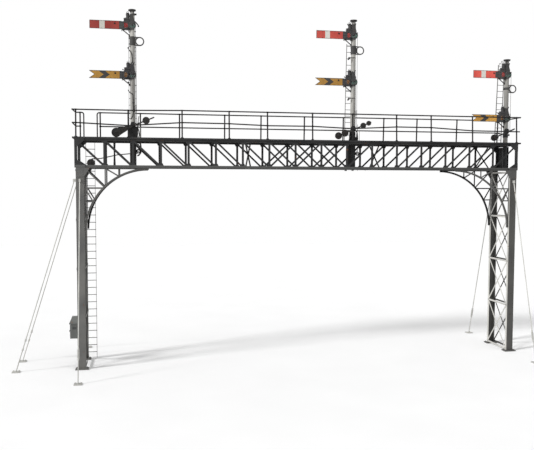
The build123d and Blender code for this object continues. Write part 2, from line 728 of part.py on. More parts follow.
def post_casting(n):
    """Foot flange, sleeve and side wings round one post, with a curved wire guide."""
    x = POST_X[n]
    z = DECK_TOP + SEAT
    side = CASTING_SIDE
    shapes = [block(x - side, x + side, -side + 35, side, z, z + CASTING_THICK)]
    shapes.append(rod((x, 0, z), (x, 0, z + SLEEVE_HIGH), SLEEVE_RADIUS))
    for way in (-1, 1):
        wing = [(x, z), (x + way * WING_REACH, z), (x + way * WING_REACH, z + 60), (x + way * SLEEVE_RADIUS, z + 220)]
        shapes.append(flat_xz(wing + [(x, z + 220)], -8, 8))
    reach = GUIDE_REACH
    guide = [(x + 80, z + 60), (x + WING_REACH, z + 60), (x + reach - 10, z + 150), (x + reach - 14, z + 260)]
    guide += [(x + reach - 2, z + 330), (x + reach + 4, z + GUIDE_HIGH), (x + reach - 6, z + GUIDE_HIGH)]
    guide += [(x + reach - 22, z + 330), (x + reach - 42, z + 270), (x + reach - 44, z + 170), (x + 80, z + 110)]
    shapes.append(flat_xz(guide, -7, 7))
    return (joined(shapes) - post_space(n, SEAT, z - 10, z + SLEEVE_HIGH + 10)).solid()


def post_collar(n):
    """Collar with a lug at the right, round a post that has no foot casting."""
    x = POST_X[n]
    z = DECK_TOP + PIVOT_UP - COLLAR_DROP
    shapes = [rod((x, 0, z), (x, 0, z + COLLAR_HIGH), SLEEVE_RADIUS)]
    shapes.append(block(x + POST_RADIUS, x + COLLAR_LUG, -20, 20, z + COLLAR_HIGH / 2, z + COLLAR_HIGH))
    return (joined(shapes) - post_space(n, SEAT, z - 10, z + COLLAR_HIGH + 10)).solid()


def pin_bracket(n, z, radius, face, end, head, outline):
    """Bracket on the post's front and the fixed pin in it, as two solids."""
    x = POST_X[n]
    points = [(x + a, z + b) for a, b in outline]
    casting = flat_xz(points, -face, -POST_RADIUS / 2) - post_space(n, SEAT, z - CUT_REACH, z + CUT_REACH)
    casting = casting - disc_y(x, z, -face - 5, -POST_RADIUS / 2 + 5, radius + SEAT)
    pin = joined([disc_y(x, z, -end, -POST_RADIUS - 2, radius), disc_y(x, z, -end, -end + 6, head)])
    return [casting.solid(), pin.solid()]


def finial(n):
    """Waisted cap on top of one post, turned about the post's axis."""
    z = UNDER + POST_TOP[n] + SEAT
    h = FINIAL_HIGH
    profile = [(0, 0), (FINIAL_FOOT, 0), (FINIAL_FOOT, 14), (FINIAL_NECK + 22, 36), (FINIAL_NECK, 0.4 * h)]
    profile += [(FINIAL_NECK, 0.55 * h), (FINIAL_NECK + 30, 0.72 * h), (FINIAL_BRIM, 0.8 * h), (FINIAL_BRIM, 0.95 * h)]
    profile.append((0, h))
    points = [Vector(POST_X[n] + r, 0, z + up) for r, up in profile]
    return revolve(make_face(Polyline(points, close=True)), Axis((POST_X[n], 0, z), (0, 0, 1)), 360).solid()


def post_fittings(n):
    """Finial, pin brackets, ring and its band on one signal post."""
    x = POST_X[n]
    spindle = [(-60, -180), (55, -180), (80, -100), (80, 120), (55, 200), (40, 270), (72, 370), (48, 378), (-8, 285)]
    spindle += [(-28, 325), (-52, 338), (-76, 300), (-76, 60), (-60, 0)]
    pivot = [(-62, -60), (62, -60), (88, -10), (88, 90), (50, 130), (-50, 130), (-88, 60), (-88, -10)]
    solids = [finial(n)]
    for up in (STOP_UP[n], DISTANT_UP[n]):
        solids += pin_bracket(n, UNDER + up, SPINDLE_RADIUS, BRACKET_FACE, 136.0, 30.0, spindle)
    solids += pin_bracket(n, DECK_TOP + PIVOT_UP, PIVOT_RADIUS, 99.0, 180.0, 26.0, pivot)
    z = UNDER + STOP_UP[n] - RING_DROP
    half = RING_THICK / 2
    ring = disc_y(x + RING_X, z, -half, half, RING_OUTER) - disc_y(x + RING_X, z, -RING_THICK, RING_THICK, RING_INNER)
    band = rod((x, 0, z - RING_BAND[n]), (x, 0, z + RING_BAND[n]), POST_RADIUS + 9)
    shapes = [band]
    for low, high in ((RING_INNER, RING_OUTER), (-RING_OUTER, -RING_INNER)):
        shapes.append(block(x + POST_RADIUS - 20, x + RING_X, -half, half, z + low, z + high))
    if RING_BAND[n] < RING_OUTER:
        shapes.append(block(x + POST_RADIUS - 20, x + POST_RADIUS + 20, -half, half, z - RING_OUTER, z + RING_OUTER))
    clamp = joined(shapes) - post_space(n, SEAT, z - 200, z + 200)
    solids.append(joined([clamp, ring]).solid())
    return solids


def post_lamps(n):
    """Two signal lamps on shelves, each with a brace to the post."""
    solids = []
    x = POST_X[n]
    lamp_x = x - LAMP_X
    for up in (STOP_UP[n], DISTANT_UP[n]):
        z = UNDER + up
        shelf_z = z - SHELF_DROP
        y1 = -LAMP_FRONT + LAMP_DEEP
        shelf = block(x - SHELF_REACH, x - POST_RADIUS / 2, -LAMP_FRONT, y1, shelf_z, shelf_z + 10)
        brace = flat_xz(strip((x - SHELF_REACH + 20, shelf_z + 2), (x - POST_RADIUS - 5, shelf_z - 175), 30), -8, 8)
        foot = block(x - POST_RADIUS - 12, x - POST_RADIUS / 2, -40, 40, shelf_z - 205, shelf_z - 140)
        wide = LAMP_WIDE / 2
        depth = (y1 - LAMP_FRONT) / 2
        body = block(lamp_x - wide, lamp_x + wide, -LAMP_FRONT + 12, y1 - 10, shelf_z + 10, shelf_z + 10 + LAMP_HIGH)
        roof_z = shelf_z + 10 + LAMP_HIGH
        roof = extrude(Plane(origin=(lamp_x, depth, roof_z)) * Rectangle(wide * 2, wide * 2 - 40), LAMP_ROOF, taper=30)
        vent = rod((x - CHIMNEY_X, depth, roof_z - 20), (x - CHIMNEY_X, depth, z + LAMP_TOP - 30), CHIMNEY_RADIUS)
        cowl = rod((x - CHIMNEY_X, depth, z + LAMP_TOP - 30), (x - CHIMNEY_X, depth, z + LAMP_TOP), CHIMNEY_RADIUS - 14)
        snout = disc_y(lamp_x, z, -LAMP_FRONT, -LAMP_FRONT + 20, 60)
        lamp = joined([shelf, brace, foot, body, roof, vent, cowl, snout])
        lamp = lamp - rod((x, 0, shelf_z - CUT_REACH), (x, 0, z + CUT_REACH), POST_RADIUS + SEAT)
        lamp = lamp - block(x - 63, x + 200, -LAMP_FRONT - 30, -POST_RADIUS / 2 + 3, shelf_z - 20, z + CUT_REACH)
        solids.append(lamp.solid())
    return solids


def post_ladder(n):
    """Ladder behind one signal post, wider at its foot, and its straps."""
    x = POST_X[n]
    low = DECK_TOP + SEAT
    high = UNDER + STOP_UP[n] + POST_LADDER_RISE[n]
    shapes = []
    for side in (-1, 1):
        stile = loft([
            Plane(origin=(x + side * POST_LADDER_FOOT_WIDE / 2, POST_LADDER_FOOT, low)) * Rectangle(12, 44),
            Plane(origin=(x + side * POST_LADDER_TOP_WIDE / 2, POST_LADDER_TOP, high)) * Rectangle(12, 44),
        ])
        shapes.append(stile)

    def half_and_depth(z):
        t = (z - low) / (high - low)
        half = (POST_LADDER_FOOT_WIDE * (1 - t) + POST_LADDER_TOP_WIDE * t) / 2
        return half, POST_LADDER_FOOT * (1 - t) + POST_LADDER_TOP * t

    count = int((high - low - 60) / POST_LADDER_PITCH)
    for i in range(count + 1):
        z = high - 60 - i * POST_LADDER_PITCH
        half, y = half_and_depth(z)
        shapes.append(rod((x - half, y, z), (x + half, y, z), 9))
    solids = [joined(shapes).solid()]
    lean = (POST_LADDER_FOOT - POST_LADDER_TOP) / (high - low)
    for z in (high - STRAP_DROP[n], high - STRAP_DROP[n] - STRAP_STEP):
        if z < low + 500:
            continue
        half, y = half_and_depth(z)
        back = y - 22 - SEAT - lean * STRAP_HALF
        strap = joined([
            block(x - half - 10, x + half + 10, back - 10, back, z - STRAP_HALF, z + STRAP_HALF),
            block(x - 12, x + 12, POST_RADIUS, back - 5, z - STRAP_HALF, z + STRAP_HALF),
            block(x - 40, x + 40, POST_RADIUS / 2, POST_RADIUS + 14, z - 30, z + 30),
        ])
        solids.append((strap - post_space(n, SEAT, z - 100, z + 100)).solid())
    return solids


def arm(n, up, tip, deep, crank, fishtail):
    """Signal arm: blade, rimmed lens frame, ringed hub and crank, pointing left."""
    x = POST_X[n]
    z = UNDER + up
    mid = z - BLADE_DROP
    blade = [(x - tip, mid - deep / 2), (x - BLADE_ROOT, mid - deep / 2), (x - BLADE_ROOT, mid + deep / 2)]
    blade.append((x - tip, mid + deep / 2))
    if fishtail:
        blade.append((x - tip + NOTCH, mid))
    shapes = [flat_xz(blade, -BLADE_TO, -BLADE_FROM)]
    lens_x = x - LENS_REACH
    shapes.append(disc_y(lens_x, z, -HUB_TO + 2, -HUB_FROM - 2, LENS_RADIUS + LENS_RIM))
    shapes.append(flat_xz(strip((x, z), (lens_x, z), 60), -HUB_TO + 4, -HUB_FROM - 4))
    shapes.append(block(x - BLADE_ROOT - 60, x - LENS_REACH, -BLADE_TO, -BLADE_FROM, mid - deep / 2, mid + deep / 2))
    shapes.append(disc_y(x, z, -HUB_TO, -HUB_FROM, HUB_RADIUS))
    ring = disc_y(x, z, -CRANK_PLATE_TO, -CRANK_PLATE_FROM, HUB_RING_OUTER)
    shapes.append(ring - disc_y(x, z, -HUB_TO, -HUB_FROM, HUB_RING_INNER))
    spoke = strip((x, z - HUB_RING_INNER - 8), (x, z + HUB_RING_INNER + 8), HUB_SPOKE)
    shapes.append(flat_xz(spoke, -CRANK_PLATE_TO, -CRANK_PLATE_FROM))
    angle = math.radians(CRANK_ANGLE)
    px = x + crank * math.cos(angle)
    pz = z + crank * math.sin(angle)
    shapes.append(flat_xz(strip((x, z), (px, pz), 2 * EYE_RADIUS), -CRANK_PLATE_TO, -CRANK_PLATE_FROM))
    shapes.append(disc_y(px, pz, -CRANK_PLATE_TO, -CRANK_PLATE_FROM, EYE_RADIUS))
    whole = joined(shapes) - disc_y(px, pz, -HUB_TO - 5, -HUB_FROM + 5, PIN_RADIUS + SEAT)
    whole = whole - disc_y(lens_x, z, -HUB_TO - 5, -112, LENS_RADIUS)
    whole = whole - disc_y(lens_x, z, -106, -HUB_FROM + 5, LENS_RADIUS)
    whole = whole - disc_y(x, z, -HUB_TO - 5, -HUB_FROM + 5, SPINDLE_RADIUS + RUNNING_FIT)
    pin = disc_y(px, pz, -PIN_END, -CRANK_PLATE_FROM, PIN_RADIUS)
    return Compound(children=[whole.solid(), pin.solid()])


def lever(n, depths, crank, weights, right, pin_to):
    """Balance lever on the post's front, with its round weights and its crank pin."""
    x = POST_X[n]
    z = DECK_TOP + PIVOT_UP
    c = math.cos(math.radians(CRANK_ANGLE))
    s = math.sin(math.radians(CRANK_ANGLE))
    y0 = -depths[1]
    y1 = -depths[0]
    mid = (y0 + y1) / 2

    def along(distance, aside=0.0):
        return x + distance * c - aside * s, z + distance * s + aside * c

    first, size = weights[0]
    shapes = [flat_xz(strip(along(first), along(right), LEVER_HIGH), y0, y1)]
    shapes.append(disc_y(x, z, y0, y1, LEVER_HUB))
    if DROP_SHAPED[n] and size > LEVER_HUB * 3:
        drop = [along(0, LEVER_HUB - 8), along(first + size * 0.2, size * 0.97), along(first + size * 0.2, -size * 0.97)]
        shapes.append(flat_xz(drop + [along(0, 8 - LEVER_HUB)], y0, y1))
    if TAILED[n] and first < -500:
        tail = [along(first, size * 0.85), along(first - size - TAIL), along(first, -size * 0.85)]
        shapes.append(flat_xz(tail, y0, y1))
    for at, radius in weights:
        wx, wz = along(at)
        shapes.append(disc_y(wx, wz, mid - WEIGHT_THICK / 2, mid + WEIGHT_THICK / 2, radius))
    px, pz = along(crank)
    whole = joined(shapes) - disc_y(x, z, y0 - 5, y1 + 5, PIVOT_RADIUS + RUNNING_FIT)
    whole = whole - disc_y(px, pz, y0 - 5, y1 + 5, PIN_RADIUS + SEAT)
    pin = disc_y(px, pz, min(-pin_to, y0), max(-pin_to, y1), PIN_RADIUS)
    return Compound(children=[whole.solid(), pin.solid()])


def push_rod(n, up, crank):
    """Vertical rod from a balance lever to its arm, with an eye at each end."""
    angle = math.radians(CRANK_ANGLE)
    x = POST_X[n] + crank * math.cos(angle)
    low = DECK_TOP + PIVOT_UP + crank * math.sin(angle)
    high = UNDER + up + crank * math.sin(angle)
    mid = -(ROD_FROM + ROD_TO) / 2
    shapes = [rod((x, mid, low), (x, mid, high), ROD_RADIUS - 1.5)]
    for z in (low, high):
        shapes.append(disc_y(x, z, -ROD_TO, -ROD_FROM, EYE_RADIUS))
    whole = joined(shapes)
    whole = whole - disc_y(x, low, -ROD_TO - 5, -ROD_FROM + 5, PIN_RADIUS + RUNNING_FIT)
    whole = whole - disc_y(x, high, -ROD_TO - 5, -ROD_FROM + 5, PIN_RADIUS + OPEN_FIT)
    return whole.solid()


def build_nodes():
    """All the nodes by name, in gantry places."""
    nodes = {
        "front_top_chord": top_chord(),
        "front_bottom_chord": bottom_chord(),
        "front_web": web(),
        "sway_frames": sway_frames(),
        "deck": deck(),
        "deck_bearers": deck_bearers(),
        "post_bearers": post_bearers(),
        "end_diaphragm": end_diaphragm(),
        "left_front_column": column(),
        "left_leg_lacing": leg_lacing(),
        "gussets": four(gusset()),
        "corner_plates": Compound(children=[s.solid() for plate in corner_plates() for s in four(plate).solids()]),
        "end_posts": four(end_post()),
        "base_plates": four(base_plate()),
        "access_ladder": access_ladder(),
        "telephone_box": telephone_box(),
        "wire_wheel": wire_wheel(),
        "end_rails": end_rails(),
    }
    for name in ("top_chord", "bottom_chord", "web"):
        nodes["rear_" + name] = mirrored_y(nodes["front_" + name])
    nodes["left_rear_column"] = mirrored_y(nodes["left_front_column"])
    nodes["right_front_column"] = mirrored_x(nodes["left_front_column"])
    nodes["right_rear_column"] = mirrored_x(nodes["left_rear_column"])
    nodes["right_leg_lacing"] = mirrored_x(nodes["left_leg_lacing"])
    bracket = knee()
    nodes["left_front_knee"] = bracket
    nodes["left_rear_knee"] = mirrored_y(bracket)
    nodes["right_front_knee"] = mirrored_x(bracket)
    nodes["right_rear_knee"] = mirrored_x(mirrored_y(bracket))
    front = front_stay()
    side = side_stay()
    nodes["left_stays"] = Compound(children=front + side + [mirrored_y(s).solid() for s in front + side])
    right = [mirrored_x(s).solid() for s in front]
    nodes["right_stays"] = Compound(children=right + [mirrored_y(s).solid() for s in right])
    nodes["front_handrail"] = front_handrail()
    nodes["rear_handrail"] = rear_handrail()
    posts = range(len(POST_X))
    nodes["signal_posts"] = Compound(children=[signal_post(n) for n in posts])
    castings = [post_collar(n) if n == COLLAR_POST else post_casting(n) for n in posts]
    nodes["post_castings"] = Compound(children=castings)
    nodes["post_fittings"] = Compound(children=[s for n in posts for s in post_fittings(n)])
    nodes["post_lamps"] = Compound(children=[s for n in posts for s in post_lamps(n)])
    nodes["post_ladders"] = Compound(children=[s for n in posts for s in post_ladder(n)])
    for n in posts:
        tag = str(n + 1)
        nodes["stop_arm_" + tag] = arm(n, STOP_UP[n], STOP_TIP, STOP_DEEP, STOP_CRANK, False)
        nodes["distant_arm_" + tag] = arm(n, DISTANT_UP[n], DISTANT_TIP, DISTANT_DEEP, DISTANT_CRANK, True)
        nodes["stop_lever_" + tag] = lever(n, STOP_LEVER, STOP_CRANK, STOP_WEIGHTS[n], STOP_RIGHT[n], PIN_END)
        nodes["distant_lever_" + tag] = lever(
            n, DISTANT_LEVER, DISTANT_CRANK, DISTANT_WEIGHTS[n], DISTANT_RIGHT[n], ROD_FROM - 3)
        nodes["stop_rod_" + tag] = push_rod(n, STOP_UP[n], STOP_CRANK)
        nodes["distant_rod_" + tag] = push_rod(n, DISTANT_UP[n], DISTANT_CRANK)
    return nodes


def write_nodes():
    """One STEP file for each node, with the origin under the footprint's centre."""
    os.makedirs("parts", exist_ok=True)
    for name, shape in build_nodes().items():
        placed = Pos(SHIFT, 0, 0) * shape
        solids = placed.solids()
        export_step(solids[0] if len(solids) == 1 else Compound(children=solids), "parts/" + name + ".step")


if __name__ == "__main__":
    write_nodes()
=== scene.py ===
"""Looks of a railway signal gantry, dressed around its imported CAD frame."""
from __future__ import annotations

import json
import logging
import math
import random
from dataclasses import dataclass
from enum import Enum

import bpy
from mathutils import Matrix, Vector

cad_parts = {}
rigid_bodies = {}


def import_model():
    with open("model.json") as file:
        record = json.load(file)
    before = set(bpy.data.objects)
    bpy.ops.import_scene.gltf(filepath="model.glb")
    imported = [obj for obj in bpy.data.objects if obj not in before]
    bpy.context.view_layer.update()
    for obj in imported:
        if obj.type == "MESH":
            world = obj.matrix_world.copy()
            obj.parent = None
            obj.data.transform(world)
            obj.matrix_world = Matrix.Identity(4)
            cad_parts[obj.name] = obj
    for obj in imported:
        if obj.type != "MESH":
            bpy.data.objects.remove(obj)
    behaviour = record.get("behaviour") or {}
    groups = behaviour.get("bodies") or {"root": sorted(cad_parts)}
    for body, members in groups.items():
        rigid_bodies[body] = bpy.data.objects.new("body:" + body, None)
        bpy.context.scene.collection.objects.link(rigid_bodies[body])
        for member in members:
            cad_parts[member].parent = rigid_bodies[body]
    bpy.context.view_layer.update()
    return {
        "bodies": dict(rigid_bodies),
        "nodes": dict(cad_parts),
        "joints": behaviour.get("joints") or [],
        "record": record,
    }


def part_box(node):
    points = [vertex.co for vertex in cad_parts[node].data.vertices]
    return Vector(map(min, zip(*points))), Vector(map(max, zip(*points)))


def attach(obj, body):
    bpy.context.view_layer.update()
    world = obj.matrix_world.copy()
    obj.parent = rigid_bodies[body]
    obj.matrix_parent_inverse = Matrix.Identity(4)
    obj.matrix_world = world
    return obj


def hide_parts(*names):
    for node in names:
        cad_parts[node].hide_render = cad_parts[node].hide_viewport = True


LOG = logging.getLogger("gantry")
Point = tuple[float, float, float]
Tone = tuple[float, float, float]
Outline = list[tuple[float, float]]
Piece = bpy.types.Object
Socket = bpy.types.NodeSocket
STRUCTURE = "structure"
SMOOTH = math.radians(35)  # edges flatter than this are shaded smooth
EVEN, RUNS, BOARDS = (1.0, 1.0, 1.0), (9.0, 9.0, 0.55), (60.0, 4.0, 60.0)  # stretches of a noise
PATCHES, FINE, SPOTS = 1.3, 38.0, 6.5  # noise scales of soft patches, fine wear and rust spots
WHITE = (1.0, 1.0, 1.0, 1.0)


def tone(red: int, green: int, blue: int) -> Tone:
    """Turn a colour written for the screen into the linear values of a shader.

    Args:
        red: Red from 0 to 255.
        green: Green from 0 to 255.
        blue: Blue from 0 to 255.

    Returns:
        The three linear values.
    """
    def linear(value: int) -> float:
        share = value / 255.0
        return share / 12.92 if share <= 0.04045 else ((share + 0.055) / 1.055) ** 2.4

    return linear(red), linear(green), linear(blue)


class Grain(Enum):
    """How the fine surface of a finish is broken up."""

    PAINT = "paint"
    ENAMEL = "enamel"
    WOOD = "wood"
    CAST = "cast"
    ZINC = "zinc"


class NodeBench:
    """Adds and links the shader nodes of one tree."""

    def __init__(self, tree: bpy.types.NodeTree) -> None:
        """Keep the tree that the nodes go into."""
        self.tree = tree

    @property
    def shader(self) -> bpy.types.Node:
        """The surface shader that a new material starts with."""
        return self.tree.nodes["Principled BSDF"]

    def place(self) -> Socket:
        """Object coordinates, so that a pattern keeps its place on a piece."""
        return self.add("TexCoord", {}).outputs["Object"]

    def add(self, kind: str, inputs: dict, **settings: object) -> bpy.types.Node:
        """Add a node with its options, and link or set its inputs.

        Args:
            kind: End of the node's type name.
            inputs: Sockets to link or values to set, by the input's name or number.
            settings: The node's own options.

        Returns:
            The node.
        """
        node = self.tree.nodes.new(f"ShaderNode{kind}")
        for name, value in settings.items():
            setattr(node, name, value)
        self.feed(node, inputs)
        return node

    def feed(self, node: bpy.types.Node, inputs: dict) -> None:
        """Link or set a node's inputs.

        Args:
            node: The node.
            inputs: Sockets to link or values to set, by the input's name or number.
        """
        for key, value in inputs.items():
            if isinstance(value, bpy.types.NodeSocket):
                self.tree.links.new(value, node.inputs[key])
            else:
                node.inputs[key].default_value = value

    def noise(self, place: Socket, stretch: Point, scale: float, detail: float) -> Socket:
        """Noise on a stretched copy of the place, as one socket."""
        spot = self.add("Mapping", {"Scale": stretch, "Vector": place}).outputs["Vector"]
        return self.add("TexNoise", {"Scale": scale, "Detail": detail, "Vector": spot}).outputs["Fac"]

    def ramp(self, value: Socket, low: float, high: float) -> Socket:
        """Value stretched so that low gives 0 and high gives 1."""
        return self.add("MapRange", {"From Min": low, "From Max": high, "Value": value}).outputs["Result"]

    def scaled(self, value: Socket, factor: float) -> Socket:
        """Value times a factor."""
        return self.add("Math", {0: value, 1: factor}, operation="MULTIPLY").outputs["Value"]

    def mix(self, share: Socket, first: object, second: object) -> Socket:
        """Mix of two colours, each a socket or three values, by a share."""
        ends = [end if isinstance(end, bpy.types.NodeSocket) else (*end, 1.0) for end in (first, second)]
        return self.add("Mix", {"Factor": share, 6: ends[0], 7: ends[1]}, data_type="RGBA").outputs[2]


@dataclass(frozen=True)
class Finish:
    """A weathered finish: paint or metal with grime, rust and fine bumps.

    Args:
        name: Name of the material.
        base: Main colour.
        second: Colour that the main one drifts towards in large soft patches.
        rust: Colour of the rust or dirt.
        rusted: Share of the surface that rust reaches, from 0 to 1.
        streaks: Strength of the upright run marks.
        rough: Roughness of the clean surface.
        metal: Metallic value.
        bump: Height of the fine bumps.
        grain: Kind of the fine surface.
        gloss: Specular level of the surface.
        foot: Colour of the lower part, where it differs.
        foot_top: Height up to which the foot's colour reaches.
        far: Factor that scales the colour towards the far end of the span; on the sunlit steel it is painted shade on
            the faces past the right leg's lit left faces.
        far_span: Where along X the factor starts and where it is reached.
    """

    name: str
    base: Tone
    second: Tone
    rust: Tone = (0.10, 0.045, 0.02)
    rusted: float = 0.25
    streaks: float = 0.35
    rough: float = 0.6
    metal: float = 0.0
    bump: float = 0.25
    grain: Grain = Grain.PAINT
    gloss: float = 0.3
    foot: Tone | None = None
    foot_top: float = 7.5253
    far: float = 1.0
    far_span: tuple[float, float] = (7.0, 8.3)

    def build(self) -> bpy.types.Material:
        """Make the node material.

        Returns:
            The material.
        """
        material = bpy.data.materials.new(self.name)
        material.use_nodes = True
        bench = NodeBench(material.node_tree)
        place = bench.place()
        fine = bench.noise(place, EVEN, FINE, 6.0)
        patches = bench.ramp(bench.noise(place, EVEN, PATCHES, 4.0), 0.35, 0.68)
        colour = bench.mix(patches, self.base, self.second)
        if self.grain is Grain.WOOD:
            veins = bench.ramp(bench.noise(place, BOARDS, 1.0, 5.0), 0.42, 0.75)
            colour = bench.mix(veins, colour, self._shade(0.45))
        runs = bench.ramp(bench.noise(place, RUNS, 1.0, 5.0), 0.52, 0.78)
        dirt = tuple(0.35 * c + 0.25 * r for c, r in zip(self.base, self.rust))
        colour = bench.mix(bench.scaled(runs, self.streaks), colour, dirt)
        edge = 0.74 - 0.34 * self.rusted
        rusty = bench.ramp(bench.noise(place, EVEN, SPOTS, 9.0), edge, edge + 0.09)
        rust = bench.mix(bench.ramp(fine, 0.3, 0.7), self.rust, tuple(1.9 * c for c in self.rust))
        colour = bench.mix(rusty, colour, rust)
        specks = bench.scaled(bench.ramp(fine, 0.55, 0.8), 0.22)
        colour = bench.mix(specks, colour, self._shade(0.55))
        if self.foot is not None:
            colour = self._footed(bench, place, colour)
        # Scale the colour along the span; on the sunlit steel this paints the shade past the right leg's lit left
        # faces.
        if self.far != 1.0:
            colour = self._faded(bench, place, colour)
        bench.feed(bench.shader, {"Metallic": self.metal, "Specular IOR Level": self.gloss, "Base Color": colour,
                                  "Roughness": self._roughness(bench, rusty, fine),
                                  "Normal": self._relief(bench, place, rusty)})
        if self.grain is Grain.ENAMEL:
            bench.feed(bench.shader, {"Coat Weight": 0.25, "Coat Roughness": 0.3})
        return material

    def _shade(self, factor: float) -> Tone:
        """Main colour made darker by a factor."""
        return tuple(factor * c for c in self.base)

    def _footed(self, bench: NodeBench, place: Socket, colour: Socket) -> Socket:
        """Colour that changes to the foot's colour below the foot's height.

        Args:
            bench: The material's nodes.
            place: Object coordinates.
            colour: The colour so far.

        Returns:
            The socket.
        """
        height = bench.add("SeparateXYZ", {"Vector": place}).outputs["Z"]
        above = bench.ramp(height, self.foot_top - 0.01, self.foot_top)
        return bench.mix(above, self.foot, colour)

    def _faded(self, bench: NodeBench, place: Socket, colour: Socket) -> Socket:
        """Colour that is scaled little by little along the span.

        Args:
            bench: The material's nodes.
            place: Object coordinates.
            colour: The colour so far.

        Returns:
            The socket.
        """
        along = bench.add("SeparateXYZ", {"Vector": place}).outputs["X"]
        start, end = self.far_span
        share = bench.add("MapRange", {"From Min": start, "From Max": end, "To Min": 1.0, "To Max": self.far,
                                       "Value": along}).outputs["Result"]
        return bench.add("VectorMath", {0: colour, "Scale": share}, operation="SCALE").outputs["Vector"]

    def _roughness(self, bench: NodeBench, rusty: Socket, fine: Socket) -> Socket:
        """Roughness that varies finely and rises on rust.

        Args:
            bench: The material's nodes.
            rusty: Share of rust.
            fine: The fine noise.

        Returns:
            The socket.
        """
        low, high = max(0.05, self.rough - 0.12), min(1.0, self.rough + 0.14)
        clean = bench.add("MapRange", {"To Min": low, "To Max": high, "Value": fine}).outputs["Result"]
        worn = bench.add("Math", {0: rusty, 1: 0.3, 2: clean}, operation="MULTIPLY_ADD", use_clamp=True)
        return worn.outputs["Value"]

    def _relief(self, bench: NodeBench, place: Socket, rusty: Socket) -> Socket:
        """Fine bumps, with rust standing a little proud of the paint.

        Args:
            bench: The material's nodes.
            place: Object coordinates.
            rusty: Share of rust.

        Returns:
            The socket.
        """
        stretch = (80.0, 5.0, 80.0) if self.grain is Grain.WOOD else EVEN
        sizes = {Grain.PAINT: 90.0, Grain.ENAMEL: 25.0, Grain.WOOD: 1.0, Grain.CAST: 150.0, Grain.ZINC: 60.0}
        bumps = bench.noise(place, stretch, sizes[self.grain], 4.0)
        total = bench.add("Math", {0: rusty, 1: 1.4, 2: bumps}, operation="MULTIPLY_ADD").outputs["Value"]
        return bench.add("Bump", {"Strength": self.bump, "Distance": 0.002, "Height": total}).outputs["Normal"]


@dataclass(frozen=True)
class LensGlass:
    """Coloured glass of a lens frame or a lamp, lightly dusty.

    Args:
        name: Name of the material.
        colour: Colour of the glass.
        dust: Colour of the dust on it.
    """

    name: str
    colour: Tone
    dust: Tone = (0.28, 0.27, 0.25)

    def build(self) -> bpy.types.Material:
        """Make the node material.

        Returns:
            The material.
        """
        material = bpy.data.materials.new(self.name)
        material.use_nodes = True
        bench = NodeBench(material.node_tree)
        dust = bench.scaled(bench.ramp(bench.noise(bench.place(), EVEN, 14.0, 6.0), 0.45, 0.85), 0.5)
        bench.feed(bench.shader, {"Transmission Weight": 0.75, "IOR": 1.45, "Roughness": dust,
                                  "Base Color": bench.mix(dust, self.colour, self.dust)})
        return material


